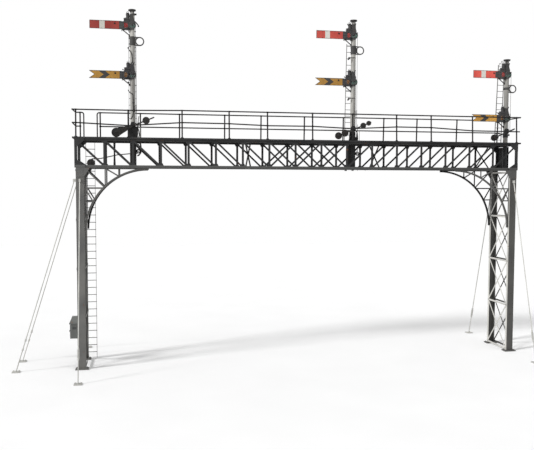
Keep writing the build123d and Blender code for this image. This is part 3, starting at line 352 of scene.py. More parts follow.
@dataclass(frozen=True)
class Palette:
    """All the finishes of the gantry, each with the name that slots and pieces use."""

    girder: Finish = Finish("girder_steel", tone(42, 43, 44), tone(58, 58, 58), rusted=0.2, rough=0.66, gloss=0.2,
                            foot=tone(86, 86, 85), foot_top=6.633, far=0.62, far_span=(-6.5, 8.5))
    column: Finish = Finish("column_steel", tone(84, 84, 83), tone(104, 103, 100), rusted=0.2, rough=0.6,
                            far=0.7, far_span=(5.0, 8.0))
    # Painted sunlight and shade: bright steel for the right leg's sunlit left faces, scaled to 0.14 past x 8.276 as
    # painted shade on its other faces.
    sunlit: Finish = Finish("sunlit_steel", tone(168, 167, 163), tone(188, 186, 180), rusted=0.15, rough=0.6,
                            far=0.14, far_span=(8.268, 8.276))
    rail: Finish = Finish("rail_tube", tone(24, 24, 25), tone(36, 35, 35), rusted=0.12, rough=0.6, gloss=0.15)
    # Posts below the deck take the dark foot colour: partly painted shade under the deck, partly grime.
    post: Finish = Finish("post_paint", tone(146, 145, 141), tone(174, 172, 166), rusted=0.14, streaks=0.6, rough=0.5,
                          foot=tone(46, 47, 48), far=0.6)
    fitting: Finish = Finish("fitting_paint", tone(54, 54, 56), tone(70, 69, 67), rusted=0.2, grain=Grain.CAST,
                             gloss=0.2, foot=tone(42, 42, 43), foot_top=8.2)
    ladder: Finish = Finish("ladder_paint", tone(84, 84, 83), tone(106, 105, 102), rusted=0.2)
    lamp: Finish = Finish("lamp_paint", tone(50, 50, 52), tone(64, 63, 62), rusted=0.12, rough=0.5, gloss=0.25)
    stop: Finish = Finish("stop_paint", tone(132, 40, 34), tone(150, 56, 46), rusted=0.08, rough=0.45,
                          grain=Grain.ENAMEL, bump=0.12, far=2.3, far_span=(-4.9, 8.4))
    distant: Finish = Finish("distant_paint", tone(150, 108, 36), tone(168, 126, 52), rusted=0.08, rough=0.45,
                             grain=Grain.ENAMEL, bump=0.12, far=1.6, far_span=(3.0, 8.4))
    lever: Finish = Finish("lever_iron", tone(36, 36, 38), tone(52, 50, 48), rusted=0.28, rough=0.6, grain=Grain.CAST,
                           gloss=0.2)
    casting: Finish = Finish("arm_casting", tone(60, 60, 62), tone(75, 74, 72), rusted=0.14, rough=0.6,
                             grain=Grain.CAST,
                             gloss=0.2)
    rubber: Finish = Finish("cable_rubber", tone(30, 30, 31), tone(42, 41, 41), rusted=0.04, rough=0.75, gloss=0.15)
    stay: Finish = Finish("stay_steel", tone(168, 168, 164), tone(190, 189, 184), rusted=0.15, rough=0.45, metal=0.3,
                          grain=Grain.ZINC)
    box: Finish = Finish("box_paint", tone(98, 100, 98), tone(116, 117, 114), rusted=0.18, rough=0.5)
    deck: Finish = Finish("deck_board", tone(74, 68, 60), tone(98, 91, 81), rust=(0.03, 0.03, 0.026), rusted=0.3,
                          streaks=0.2, rough=0.85, grain=Grain.WOOD, bump=0.6)
    white: Finish = Finish("white_band", tone(188, 186, 178), tone(206, 204, 196), rusted=0.06, streaks=0.3, rough=0.4,
                           grain=Grain.ENAMEL, bump=0.1)
    black: Finish = Finish("black_band", tone(36, 36, 37), tone(50, 49, 49), rusted=0.08, rough=0.4,
                           grain=Grain.ENAMEL, bump=0.1)
    red_glass: LensGlass = LensGlass("red_glass", (0.62, 0.03, 0.02))
    amber_glass: LensGlass = LensGlass("amber_glass", (0.42, 0.17, 0.01))
    green_glass: LensGlass = LensGlass("green_glass", (0.16, 0.34, 0.27))
    clear_glass: LensGlass = LensGlass("clear_glass", (0.75, 0.76, 0.74))

    def build(self) -> dict[str, bpy.types.Material]:
        """Make every material.

        Returns:
            The materials by name.
        """
        finishes = [getattr(self, name) for name in self.__dataclass_fields__]
        return {finish.name: finish.build() for finish in finishes}


class Shop:
    """The modelling bench: adds, shapes, copies and joins pieces."""

    def __init__(self, materials: dict[str, bpy.types.Material]) -> None:
        """Keep the materials for the pieces made here."""
        self.materials = materials

    def clear(self) -> None:
        """Leave nothing selected."""
        if bpy.context.object is not None and bpy.context.object.mode != "OBJECT":
            bpy.ops.object.mode_set(mode="OBJECT")
        bpy.ops.object.select_all(action="DESELECT")

    def pick(self, piece: Piece) -> None:
        """Make one piece the only selected and the active one.

        Args:
            piece: The piece.
        """
        self.clear()
        piece.select_set(True)
        bpy.context.view_layer.objects.active = piece

    def settle(self, piece: Piece) -> Piece:
        """Put a piece's place into its mesh, with the object at the origin.

        Args:
            piece: The piece.

        Returns:
            The piece.
        """
        self.pick(piece)
        bpy.ops.object.transform_apply(location=True, rotation=True, scale=True)
        return piece

    def bevelled(self, piece: Piece, width: float, segments: int = 1) -> Piece:
        """Round a piece's edges with an applied bevel.

        Args:
            piece: The piece.
            width: Width of the bevel.
            segments: Number of its steps.

        Returns:
            The piece.
        """
        self.pick(piece)
        bevel = piece.modifiers.new("edges", "BEVEL")
        bevel.width = width
        bevel.segments = segments
        bevel.limit_method = "ANGLE"
        bpy.ops.object.modifier_apply(modifier=bevel.name)
        return piece

    def block(self, name: str, low: Point, high: Point, bevel: float = 0.002) -> Piece:
        """Box between two corners with bevelled edges.

        Args:
            name: Name of the piece.
            low: Lowest corner in metres.
            high: Highest corner in metres.
            bevel: Width of the bevel, or 0 for none.

        Returns:
            The piece.
        """
        self.clear()
        centre = [(a + b) / 2 for a, b in zip(low, high)]
        bpy.ops.mesh.primitive_cube_add(size=1.0, location=centre)
        piece = bpy.context.object
        piece.name = name
        piece.scale = [b - a for a, b in zip(low, high)]
        self.settle(piece)
        return self.bevelled(piece, bevel) if bevel > 0 else piece

    def drum(self, name: str, start: Point, end: Point, radius: float, sides: int = 16,
             bevel: float = 0.0) -> Piece:
        """Round bar or disc between two points.

        Args:
            name: Name of the piece.
            start: Centre of one end.
            end: Centre of the other end.
            radius: Radius in metres.
            sides: Number of sides.
            bevel: Width of the rim's bevel, or 0 for none.

        Returns:
            The piece.
        """
        self.clear()
        a = Vector(start)
        b = Vector(end)
        bpy.ops.mesh.primitive_cylinder_add(vertices=sides, radius=radius, depth=(b - a).length, location=(a + b) / 2)
        piece = bpy.context.object
        piece.name = name
        piece.rotation_mode = "QUATERNION"
        piece.rotation_quaternion = (b - a).to_track_quat("Z", "Y")
        self.settle(piece)
        if bevel > 0:
            self.bevelled(piece, bevel, 2)
        bpy.ops.object.shade_smooth_by_angle(angle=SMOOTH)
        return piece

    def hoop(self, name: str, centre: Point, axis: Point, radius: float, thick: float,
             sides: int = 28) -> Piece:
        """Round ring of round bar about an axis.

        Args:
            name: Name of the piece.
            centre: Centre of the piece.
            axis: Axis of the ring.
            radius: Radius in metres.
            thick: Radius of the bar.
            sides: Number of sides.

        Returns:
            The piece.
        """
        self.clear()
        bpy.ops.mesh.primitive_torus_add(major_radius=radius, minor_radius=thick, major_segments=sides,
                                         minor_segments=8, location=centre)
        piece = bpy.context.object
        piece.name = name
        piece.rotation_mode = "QUATERNION"
        piece.rotation_quaternion = Vector(axis).to_track_quat("Z", "Y")
        self.settle(piece)
        bpy.ops.object.shade_smooth()
        return piece

    def washer(self, name: str, centre: Point, outer: float, inner: float, thick: float,
               sides: int = 40) -> Piece:
        """Flat ring towards the viewer, made by insetting a disc, opening it and extruding.

        Args:
            name: Name of the piece.
            centre: Centre of the rear face.
            outer: Outer radius.
            inner: Inner radius.
            thick: Thickness towards the viewer.
            sides: Number of sides.

        Returns:
            The piece.
        """
        self.clear()
        bpy.ops.mesh.primitive_circle_add(vertices=sides, radius=outer, fill_type="NGON", location=centre,
                                          rotation=(math.pi / 2, 0, 0))
        piece = self.settle(bpy.context.object)
        piece.name = name
        bpy.ops.object.mode_set(mode="EDIT")
        bpy.ops.mesh.select_all(action="SELECT")
        bpy.ops.mesh.inset(thickness=(outer - inner) * math.cos(math.pi / sides))
        bpy.ops.mesh.delete(type="FACE")
        bpy.ops.mesh.select_all(action="SELECT")
        bpy.ops.mesh.extrude_region_move(TRANSFORM_OT_translate={"value": (0.0, -thick, 0.0)})
        bpy.ops.mesh.select_all(action="SELECT")
        bpy.ops.mesh.normals_make_consistent(inside=False)
        bpy.ops.object.mode_set(mode="OBJECT")
        bpy.ops.object.shade_smooth_by_angle(angle=SMOOTH)
        return piece

    def ball(self, name: str, centre: Point, radius: float) -> Piece:
        """Small knob, a ball flattened a little at its top.

        Args:
            name: Name of the piece.
            centre: Centre of the piece.
            radius: Radius in metres.

        Returns:
            The piece.
        """
        self.clear()
        bpy.ops.mesh.primitive_uv_sphere_add(segments=14, ring_count=8, radius=radius, location=centre)
        piece = bpy.context.object
        piece.name = name
        piece.scale = (1.0, 1.0, 0.92)
        self.settle(piece)
        bpy.ops.object.shade_smooth()
        return piece

    def sheet_xz(self, name: str, outline: Outline, y: float, thick: float) -> Piece:
        """Flat plate of any outline in X and Z, cut from a sheet and extruded towards the viewer.

        Args:
            name: Name of the piece.
            outline: Corners in X and Z, in order.
            y: Depth of the plate's rear face.
            thick: Thickness in metres, towards the viewer.

        Returns:
            The piece.
        """
        self.clear()
        bpy.ops.mesh.primitive_circle_add(vertices=len(outline), radius=1.0, fill_type="NGON", location=(0, 0, 0))
        piece = bpy.context.object
        piece.name = name
        for vertex, (x, z) in zip(piece.data.vertices, outline):
            vertex.co = (x, y, z)
        bpy.ops.object.mode_set(mode="EDIT")
        bpy.ops.mesh.select_all(action="SELECT")
        bpy.ops.mesh.extrude_region_move(TRANSFORM_OT_translate={"value": (0.0, -thick, 0.0)})
        bpy.ops.mesh.select_all(action="SELECT")
        bpy.ops.mesh.normals_make_consistent(inside=False)
        bpy.ops.object.mode_set(mode="OBJECT")
        return piece

    def stud(self, name: str, radius: float, height: float, sides: int = 8) -> Piece:
        """Rivet head at the origin that points along +Z, made by insetting and raising a disc.

        Args:
            name: Name of the piece.
            radius: Radius in metres.
            height: Height in metres.
            sides: Number of sides.

        Returns:
            The piece.
        """
        self.clear()
        bpy.ops.mesh.primitive_circle_add(vertices=sides, radius=radius, fill_type="NGON")
        piece = bpy.context.object
        piece.name = name
        bpy.ops.object.mode_set(mode="EDIT")
        bpy.ops.mesh.select_all(action="SELECT")
        bpy.ops.mesh.extrude_region_move(TRANSFORM_OT_translate={"value": (0.0, 0.0, height * 0.55)})
        bpy.ops.mesh.inset(thickness=radius * 0.38, depth=height * 0.45)
        bpy.ops.object.mode_set(mode="OBJECT")
        return piece

    def nut(self, name: str, radius: float, height: float) -> Piece:
        """Hexagon nut on a washer with a bolt end, at the origin, pointing along +Z.

        Args:
            name: Name of the piece.
            radius: Radius in metres.
            height: Height in metres.

        Returns:
            The piece.
        """
        washer = self.drum("washer", (0, 0, -0.001), (0, 0, height * 0.18), radius * 1.35, 12)
        body = self.drum("body", (0, 0, height * 0.15), (0, 0, height), radius, 6)
        end = self.drum("end", (0, 0, height * 0.9), (0, 0, height * 1.5), radius * 0.5, 8)
        return self.joined(name, [washer, body, end])

    def copies(self, name: str, pattern: Piece, places: list[Matrix]) -> Piece:
        """One piece made of copies of a pattern, each with its own mesh.

        Args:
            name: Name of the piece.
            pattern: The piece to copy; it is removed.
            places: Where each copy goes.

        Returns:
            The joined piece.
        """
        made = []
        for place in places:
            copy = pattern.copy()
            copy.data = pattern.data.copy()
            copy.data.transform(place)
            bpy.context.scene.collection.objects.link(copy)
            made.append(copy)
        bpy.data.objects.remove(pattern)
        return self.joined(name, made)

    def rivets(self, name: str, places: list[tuple[Point, Point]], radius: float = 0.012,
               height: float = 0.008) -> Piece:
        """Many rivet heads as one piece, each at a place and facing along an axis."""
        pattern = self.stud("rivet", radius, height)
        return self.copies(name, pattern, [turned(place, axis) for place, axis in places])

    def nuts(self, name: str, places: list[tuple[Point, Point]], radius: float, height: float) -> Piece:
        """Several nuts on washers as one piece."""
        pattern = self.nut("nut", radius, height)
        return self.copies(name, pattern, [turned(place, axis) for place, axis in places])

    def run(self, name: str, points: list[Point], radius: float, sides: int = 8) -> Piece:
        """Bent bar or pipe through a line of points, with a ball at each bend.

        Args:
            name: Name of the piece.
            points: Ends and bends, in order.
            radius: Radius in metres.
            sides: Number of sides.

        Returns:
            The piece.
        """
        parts = []
        for a, b in zip(points, points[1:]):
            parts.append(self.drum("part", a, b, radius, sides))
        for point in points[1:-1]:
            self.clear()
            bpy.ops.mesh.primitive_uv_sphere_add(segments=sides, ring_count=6, radius=radius, location=point)
            parts.append(self.settle(bpy.context.object))
        return self.joined(name, parts)

    def joined(self, name: str, pieces: list[Piece]) -> Piece:
        """Several pieces as one.

        Args:
            name: Name of the piece.
            pieces: The pieces to join.

        Returns:
            The piece.
        """
        self.clear()
        for piece in pieces:
            piece.select_set(True)
        bpy.context.view_layer.objects.active = pieces[0]
        if len(pieces) > 1:
            bpy.ops.object.join()
        whole = bpy.context.view_layer.objects.active
        whole.name = name
        whole.data.name = name
        return whole

    def made(self, name: str, parts: list[Piece], finish: str, body: str = STRUCTURE) -> Piece:
        """Join parts and dress the whole."""
        return self.dress(self.joined(name, parts), finish, body)

    def dress(self, piece: Piece, finish: str, body: str = STRUCTURE, slot: str = "") -> Piece:
        """Give a piece its material and its body.

        Args:
            piece: The piece.
            finish: Name of the material.
            body: CAD body that it rides on.
            slot: Not used.

        Returns:
            The piece.
        """
        piece.data.materials.clear()
        piece.data.materials.append(self.materials[finish])
        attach(piece, body)
        LOG.info("%s: %d faces on %s", piece.name, len(piece.data.polygons), body)
        return piece


def turned(place: Point, axis: Point) -> Matrix:
    """Placement that turns +Z to an axis and moves to a place."""
    return Matrix.Translation(Vector(place)) @ Vector(axis).to_track_quat("Z", "Y").to_matrix().to_4x4()


def spun(radius: float, degrees: float) -> tuple[float, float]:
    """Point on a circle about the origin, at an angle from its right."""
    angle = math.radians(degrees)
    return radius * math.cos(angle), radius * math.sin(angle)


def flat(x: float, y: float, z: float, outline: Outline) -> list[Point]:
    """Points at one depth, from corners given from a place in X and Z."""
    return [(x + a, y, z + b) for a, b in outline]


@dataclass
class Gantry:
    """Places shared by all the sub-assemblies, in metres."""

    shift: float = -6.7835
    panel: float = 0.9
    panels: int = 17
    half: float = 0.667
    under: float = 6.54
    depth: float = 0.935
    deck_top: float = 7.5253
    top_chord: float = 0.07
    bottom_chord: float = 0.085
    stem_face: float = 0.0193
    web_face: float = 0.007
    end_edge: float = 0.036
    column: float = 0.25
    column_half: float = 0.05
    pivot_up: float = 0.415
    crank_angle: float = 22.5
    posts: tuple[float, float, float] = (1.81, 9.40, 15.23)
    post_tops: tuple[float, float, float] = (5.00, 4.99, 3.83)
    stops: tuple[float, float, float] = (4.72, 4.695, 3.52)
    distants: tuple[float, float, float] = (3.11, 3.09, 1.95)

    @property
    def top(self) -> float:
        """Height of the girders' upper face."""
        return self.under + self.depth

    @property
    def span(self) -> float:
        """Length of the girders between their end posts."""
        return self.panel * self.panels

    def x(self, along: float) -> float:
        """Row place of a distance along the span."""
        return along + self.shift


@dataclass
class CadFinishes:
    """Materials for the CAD nodes: each node's slot, but for those with painted shade or painted sunlight, and the
    rods in the ladder's paint.
    """

    frame: dict
    # Rear knees in the dark rail paint as painted shade.
    dark: tuple[str, ...] = ("left_rear_knee", "right_rear_knee")
    # Right leg in the sunlit steel: painted sunlight on its left faces, painted shade on the rest.
    sunlit: tuple[str, ...] = ("right_front_column", "right_rear_column", "right_leg_lacing")

    def dress(self, materials: dict[str, bpy.types.Material]) -> None:
        """Give every CAD node the material of its slot, or the one that the photograph shows there.

        Args:
            materials: The materials by name.
        """
        slots = {part["node"]: part["material_slot"] for part in self.frame["record"]["subparts"]}
        for name, node in self.frame["nodes"].items():
            node.data.materials.clear()
            finish = slots[name]
            # Painted shade on the rear knees; painted sunlight and shade on the right leg.
            if name in self.dark:
                finish = "rail_tube"
            elif name in self.sunlit:
                finish = "sunlit_steel"
            elif "_rod_" in name:
                finish = "ladder_paint"
            node.data.materials.append(materials[finish])
            LOG.info("%s takes %s", name, finish)


@dataclass
class SubAssembly:
    """A part of the gantry, with the bench where its pieces are made."""

    gantry: Gantry
    shop: Shop


@dataclass
class Walkway(SubAssembly):
    """Boards across the deck with a narrow gap between them, inside steel edges."""

    board: float = 0.178
    gap: float = 0.006
    edge: float = 0.009
    hole: float = 0.09
    uneven: float = 0.004
    bolt_up: float = 0.022

    def build(self) -> None:
        """Lay the boards and their edging."""
        shop = self.shop
        low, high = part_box("deck")
        count = int((high.x - low.x - 2 * self.edge) / self.board)
        step = (high.x - low.x - 2 * self.edge) / count
        rng = random.Random(4)
        plank = shop.block("plank", (0, -0.5, low.z), (step - self.gap, 0.5, high.z - 0.004), 0.004)
        posts = [self.gantry.x(post) for post in self.gantry.posts]
        places = []
        for i in range(count):
            x = low.x + self.edge + i * step + self.gap / 2
            runs = [(low.y + self.edge, high.y - self.edge)]
            if any(x - self.hole < post < x + step + self.hole for post in posts):
                runs = [(low.y + self.edge, -self.hole), (self.hole, high.y - self.edge)]
            for y0, y1 in runs:
                drop = -rng.random() * self.uneven
                length = y1 - y0 - rng.uniform(0.0, self.uneven)
                places.append(Matrix.Translation((x, (y0 + y1) / 2, drop)) @ Matrix.Diagonal((1.0, length, 1.0, 1.0)))
        boards = shop.copies("deck_boards", plank, places)
        shop.dress(boards, "deck_board", STRUCTURE, "deck_board")
        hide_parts("deck")
        self._edging(low, high)

    def _edging(self, low: Vector, high: Vector) -> None:
        """Steel edges round the boards, bolted along the sides.

        Args:
            low: Lowest corner of the deck.
            high: Highest corner of the deck.
        """
        shop = self.shop
        edge = self.edge - 0.001
        bars = [
            shop.block("bar", (low.x, low.y, low.z), (high.x, low.y + edge, high.z)),
            shop.block("bar", (low.x, high.y - edge, low.z), (high.x, high.y, high.z)),
            shop.block("bar", (low.x, low.y + edge, low.z), (low.x + edge, high.y - edge, high.z)),
            shop.block("bar", (high.x - edge, low.y + edge, low.z), (high.x, high.y - edge, high.z)),
        ]
        shop.made("deck_edging", bars, "girder_steel")
        heads = []
        for i in range(self.gantry.panels * 2 + 1):
            x = self.gantry.x(i * self.gantry.panel / 2)
            heads.append(((x, low.y, low.z + self.bolt_up), (0, -1, 0)))
            heads.append(((x, high.y, low.z + self.bolt_up), (0, 1, 0)))
        shop.dress(shop.rivets("edging_bolts", heads, 0.013, 0.01), "girder_steel")


@dataclass
class GirderDetails(SubAssembly):
    """Joint plates, splice plates and rivets of the two girders."""

    joint_half: float = 0.088
    joint_deep: float = 0.07
    joint_thick: float = 0.004
    joint_narrow: float = 0.6
    rivet_row: tuple[float, ...] = (-0.11, -0.055, 0.0, 0.055, 0.11)
    splices: tuple[float, ...] = (3.15, 7.65, 12.15)
    splice_half: float = 0.17
    splice_thick: float = 0.006

    def build(self) -> None:
        """Make all the small steelwork of the girders."""
        self._joints()
        self._chord_rivets()
        self._splices()

    def _joints(self) -> None:
        """Small plates where the bars meet the chords, on both faces of each web."""
        g, shop = self.gantry, self.shop
        half = self.joint_half
        deep = self.joint_deep
        narrow = half * self.joint_narrow
        upper = [(-half, 0.0), (half, 0.0), (narrow, -deep), (-narrow, -deep)]
        lower = [(-half, 0.0), (half, 0.0), (narrow, deep), (-narrow, deep)]
        heads = []
        for name, outline, z, way in (
            ("upper_joint_plates", upper, g.top - g.top_chord, -1),
            ("lower_joint_plates", lower, g.under + g.bottom_chord, 1),
        ):
            pattern = shop.sheet_xz("joint", outline, 0.0, self.joint_thick)
            places = []
            for i in range(1, g.panels):
                for middle in (-g.half, g.half):
                    x = g.x(i * g.panel)
                    places.append(Matrix.Translation((x, middle - g.web_face, z)))
                    places.append(Matrix.Translation((x, middle + g.web_face + self.joint_thick, z)))
                    for facing in (-1, 1):
                        y = middle + facing * (g.web_face + self.joint_thick)
                        for aside, down in ((-narrow, 0.3), (narrow, 0.3), (0.0, 0.7)):
                            heads.append(((x + aside, y, z + way * deep * down), (0, facing, 0)))
            shop.dress(shop.copies(name, pattern, places), "girder_steel")
        shop.dress(shop.rivets("joint_rivets", heads, 0.009, 0.006), "girder_steel")

    def _chord_rivets(self) -> None:
        """Rivets through the chords' stems at every panel point."""
        g, shop = self.gantry, self.shop
        heads = []
        for i in range(g.panels + 1):
            for middle in (-g.half, g.half):
                for facing in (-1, 1):
                    for z in (g.top - g.top_chord / 2 - 0.006, g.under + g.bottom_chord / 2 + 0.006):
                        for aside in self.rivet_row:
                            x = g.x(min(max(i * g.panel + aside, 0.0), g.span))
                            heads.append(((x, middle + facing * g.stem_face, z), (0, facing, 0)))
        shop.dress(shop.rivets("chord_rivets", heads), "girder_steel")

    def _splices(self) -> None:
        """Cover plates where lengths of chord are joined."""
        g, shop = self.gantry, self.shop
        plates = []
        heads = []
        for along in self.splices:
            for facing in (-1, 1):
                y = facing * (g.half + g.stem_face)
                out = y + facing * self.splice_thick
                for z0, z1 in ((g.top - g.top_chord + 0.003, g.top - 0.014),
                               (g.under + 0.014, g.under + g.bottom_chord - 0.003)):
                    x = g.x(along)
                    plates.append(shop.block("splice", (x - self.splice_half, min(y, out), z0),
                                             (x + self.splice_half, max(y, out), z1)))
                    for k in range(6):
                        aside = (k - 2.5) * self.splice_half / 3.0
                        z = z0 + (z1 - z0) * (0.3 if k % 2 else 0.7)
                        heads.append(((x + aside, out, z), (0, facing, 0)))
        shop.made("splice_plates", plates, "girder_steel")
        shop.dress(shop.rivets("splice_rivets", heads, 0.010, 0.007), "girder_steel")


@dataclass
class LegDetails(SubAssembly):
    """Rivets of the legs and their plates, holding-down bolts, and the stays' fittings."""

    lacing_panels: int = 4
    lacing_low: float = 0.09
    lacing_face: float = 0.0083
    base_bolt: tuple[float, float] = (0.165, 0.085)
    base_top: float = 0.03
    plate_face: float = 0.0103
    rivet_pitch: float = 0.06
    stay_reach: float = 1.75
    stay_side: float = 1.93
    stay_drop: float = 0.40
    stay_foot: float = 0.012
    foot_bolt: float = 0.085
    corner_rivets: tuple = ((0.03, 0.03), (0.10, 0.03), (0.17, 0.03), (0.24, 0.03), (0.30, 0.03), (0.03, 0.10),
                            (0.03, 0.17), (0.03, 0.23), (0.14, 0.10), (0.20, 0.085))

    def build(self) -> None:
        """Make the legs' rivets, bolts and stay fittings."""
        self._rivets()
        self._base_bolts()
        self._stays()

    def _columns(self) -> list[Point]:
        """Left edge, right edge and middle depth of every column.

        Returns:
            The three numbers of each column.
        """
        g = self.gantry
        return [(g.x(x0), g.x(x0 + g.column), middle) for x0 in (0.0, g.span - g.column)
                for middle in (-g.half, g.half)]

    def _rivets(self) -> None:
        """Rivets where lacing meets columns, along the head plates and in the girders' corner plates."""
        g, shop = self.gantry, self.shop
        step = (g.under - 0.08 - self.lacing_low) / self.lacing_panels
        heads = []
        for x0, x1, middle in self._columns():
            inward = -1 if middle > 0 else 1
            for x, facing in ((x0 - self.lacing_face, -1), (x1 + self.lacing_face, 1)):
                for k in range(self.lacing_panels + 1):
                    z = self.lacing_low + k * step
                    for dy, dz in ((0.0, 0.018), (0.0, -0.018), (inward * 0.045, 0.0)):
                        heads.append(((x, middle + dy, z + dz), (facing, 0, 0)))
            front = middle - inward * (g.column_half + self.plate_face)
            for k in range(4):
                heads.append(((x0 + 0.035 + k * self.rivet_pitch, front, g.under - 0.27), (0, -inward, 0)))
                heads.append(((x0 + 0.035 + k * self.rivet_pitch, front, g.under - 0.035), (0, -inward, 0)))
            for k in range(3):
                heads.append(((x0 + 0.03, front, g.under - 0.09 - k * self.rivet_pitch), (0, -inward, 0)))
                heads.append(((x1 - 0.03, front, g.under - 0.09 - k * self.rivet_pitch), (0, -inward, 0)))
        shop.dress(shop.rivets("leg_rivets", heads), "column_steel")
        heads = []
        for edge, way in ((-g.end_edge, 1), (g.span + g.end_edge, -1)):
            for middle, facing in ((-g.half, -1), (g.half, 1)):
                y = middle + facing * (g.column_half + self.plate_face)
                for along, up in self.corner_rivets:
                    heads.append(((g.x(edge + way * along), y, g.under + up), (0, facing, 0)))
                    heads.append(((g.x(edge + way * min(along, 0.27)), y, g.top - up), (0, facing, 0)))
        shop.dress(shop.rivets("corner_rivets", heads), "girder_steel")

    def _base_bolts(self) -> None:
        """Four holding-down bolts on each foot plate."""
        shop = self.shop
        places = []
        for x0, x1, middle in self._columns():
            for dx in (-self.base_bolt[0], self.base_bolt[0]):
                for dy in (-self.base_bolt[1], self.base_bolt[1]):
                    places.append((((x0 + x1) / 2 + dx, middle + dy, self.base_top), (0, 0, 1)))
        shop.dress(shop.nuts("holding_down_bolts", places, 0.02, 0.022), "column_steel")

    def _stays(self) -> None:
        """Turnbuckles, head pins and foot bolts of the stays."""
        g, shop = self.gantry, self.shop
        top = g.under - self.stay_drop
        lines = []
        face = g.half + g.column_half + 0.0003
        for along in (g.column / 2, g.span - g.column / 2):
            for way in (-1, 1):
                x = g.x(along)
                lines.append(((x, way * (face + 0.045), top), (x, way * (face + self.stay_reach), self.stay_foot),
                              (1, 0, 0)))
        for way in (-1, 1):
            y = way * (face - 0.0263)
            lines.append(((g.x(-0.0453), y, top), (g.x(-self.stay_side), y, self.stay_foot), (0, 1, 0)))
        pattern = self._turnbuckle()
        buckles = []
        pins = []
        nuts = []
        for head, foot, across in lines:
            a = Vector(head)
            b = Vector(foot)
            buckles.append(turned(a.lerp(b, 0.86), b - a))
            pin = Vector(across)
            pins.append(shop.drum("pin", tuple(a - pin * 0.034), tuple(a + pin * 0.034), 0.013, 10, 0.002))
            for dx in (-self.foot_bolt, self.foot_bolt):
                for dy in (-self.foot_bolt, self.foot_bolt):
                    nuts.append(((b.x + dx, b.y + dy, 0.024), (0, 0, 1)))
        shop.dress(shop.copies("turnbuckles", pattern, buckles), "stay_steel")
        shop.made("stay_pins", pins, "stay_steel")
        shop.dress(shop.nuts("stay_foot_bolts", nuts, 0.014, 0.016), "stay_steel")

    def _turnbuckle(self) -> Piece:
        """Open turnbuckle at the origin along +Z.

        Returns:
            The piece.
        """
        shop = self.shop
        parts = []
        for low, high, radius, sides, bevel in ((-0.17, -0.12, 0.032, 10, 0.004), (0.12, 0.17, 0.032, 10, 0.004),
                                                (-0.20, -0.172, 0.027, 6, 0.0), (0.172, 0.20, 0.027, 6, 0.0)):
            parts.append(shop.drum("end", (0, 0, low), (0, 0, high), radius, sides, bevel))
        for side in (-1, 1):
            parts.append(shop.block("side", (side * 0.03 - 0.006, -0.012, -0.13), (side * 0.03 + 0.006, 0.012, 0.13),
                                    0.003))
        return shop.joined("turnbuckle", parts)


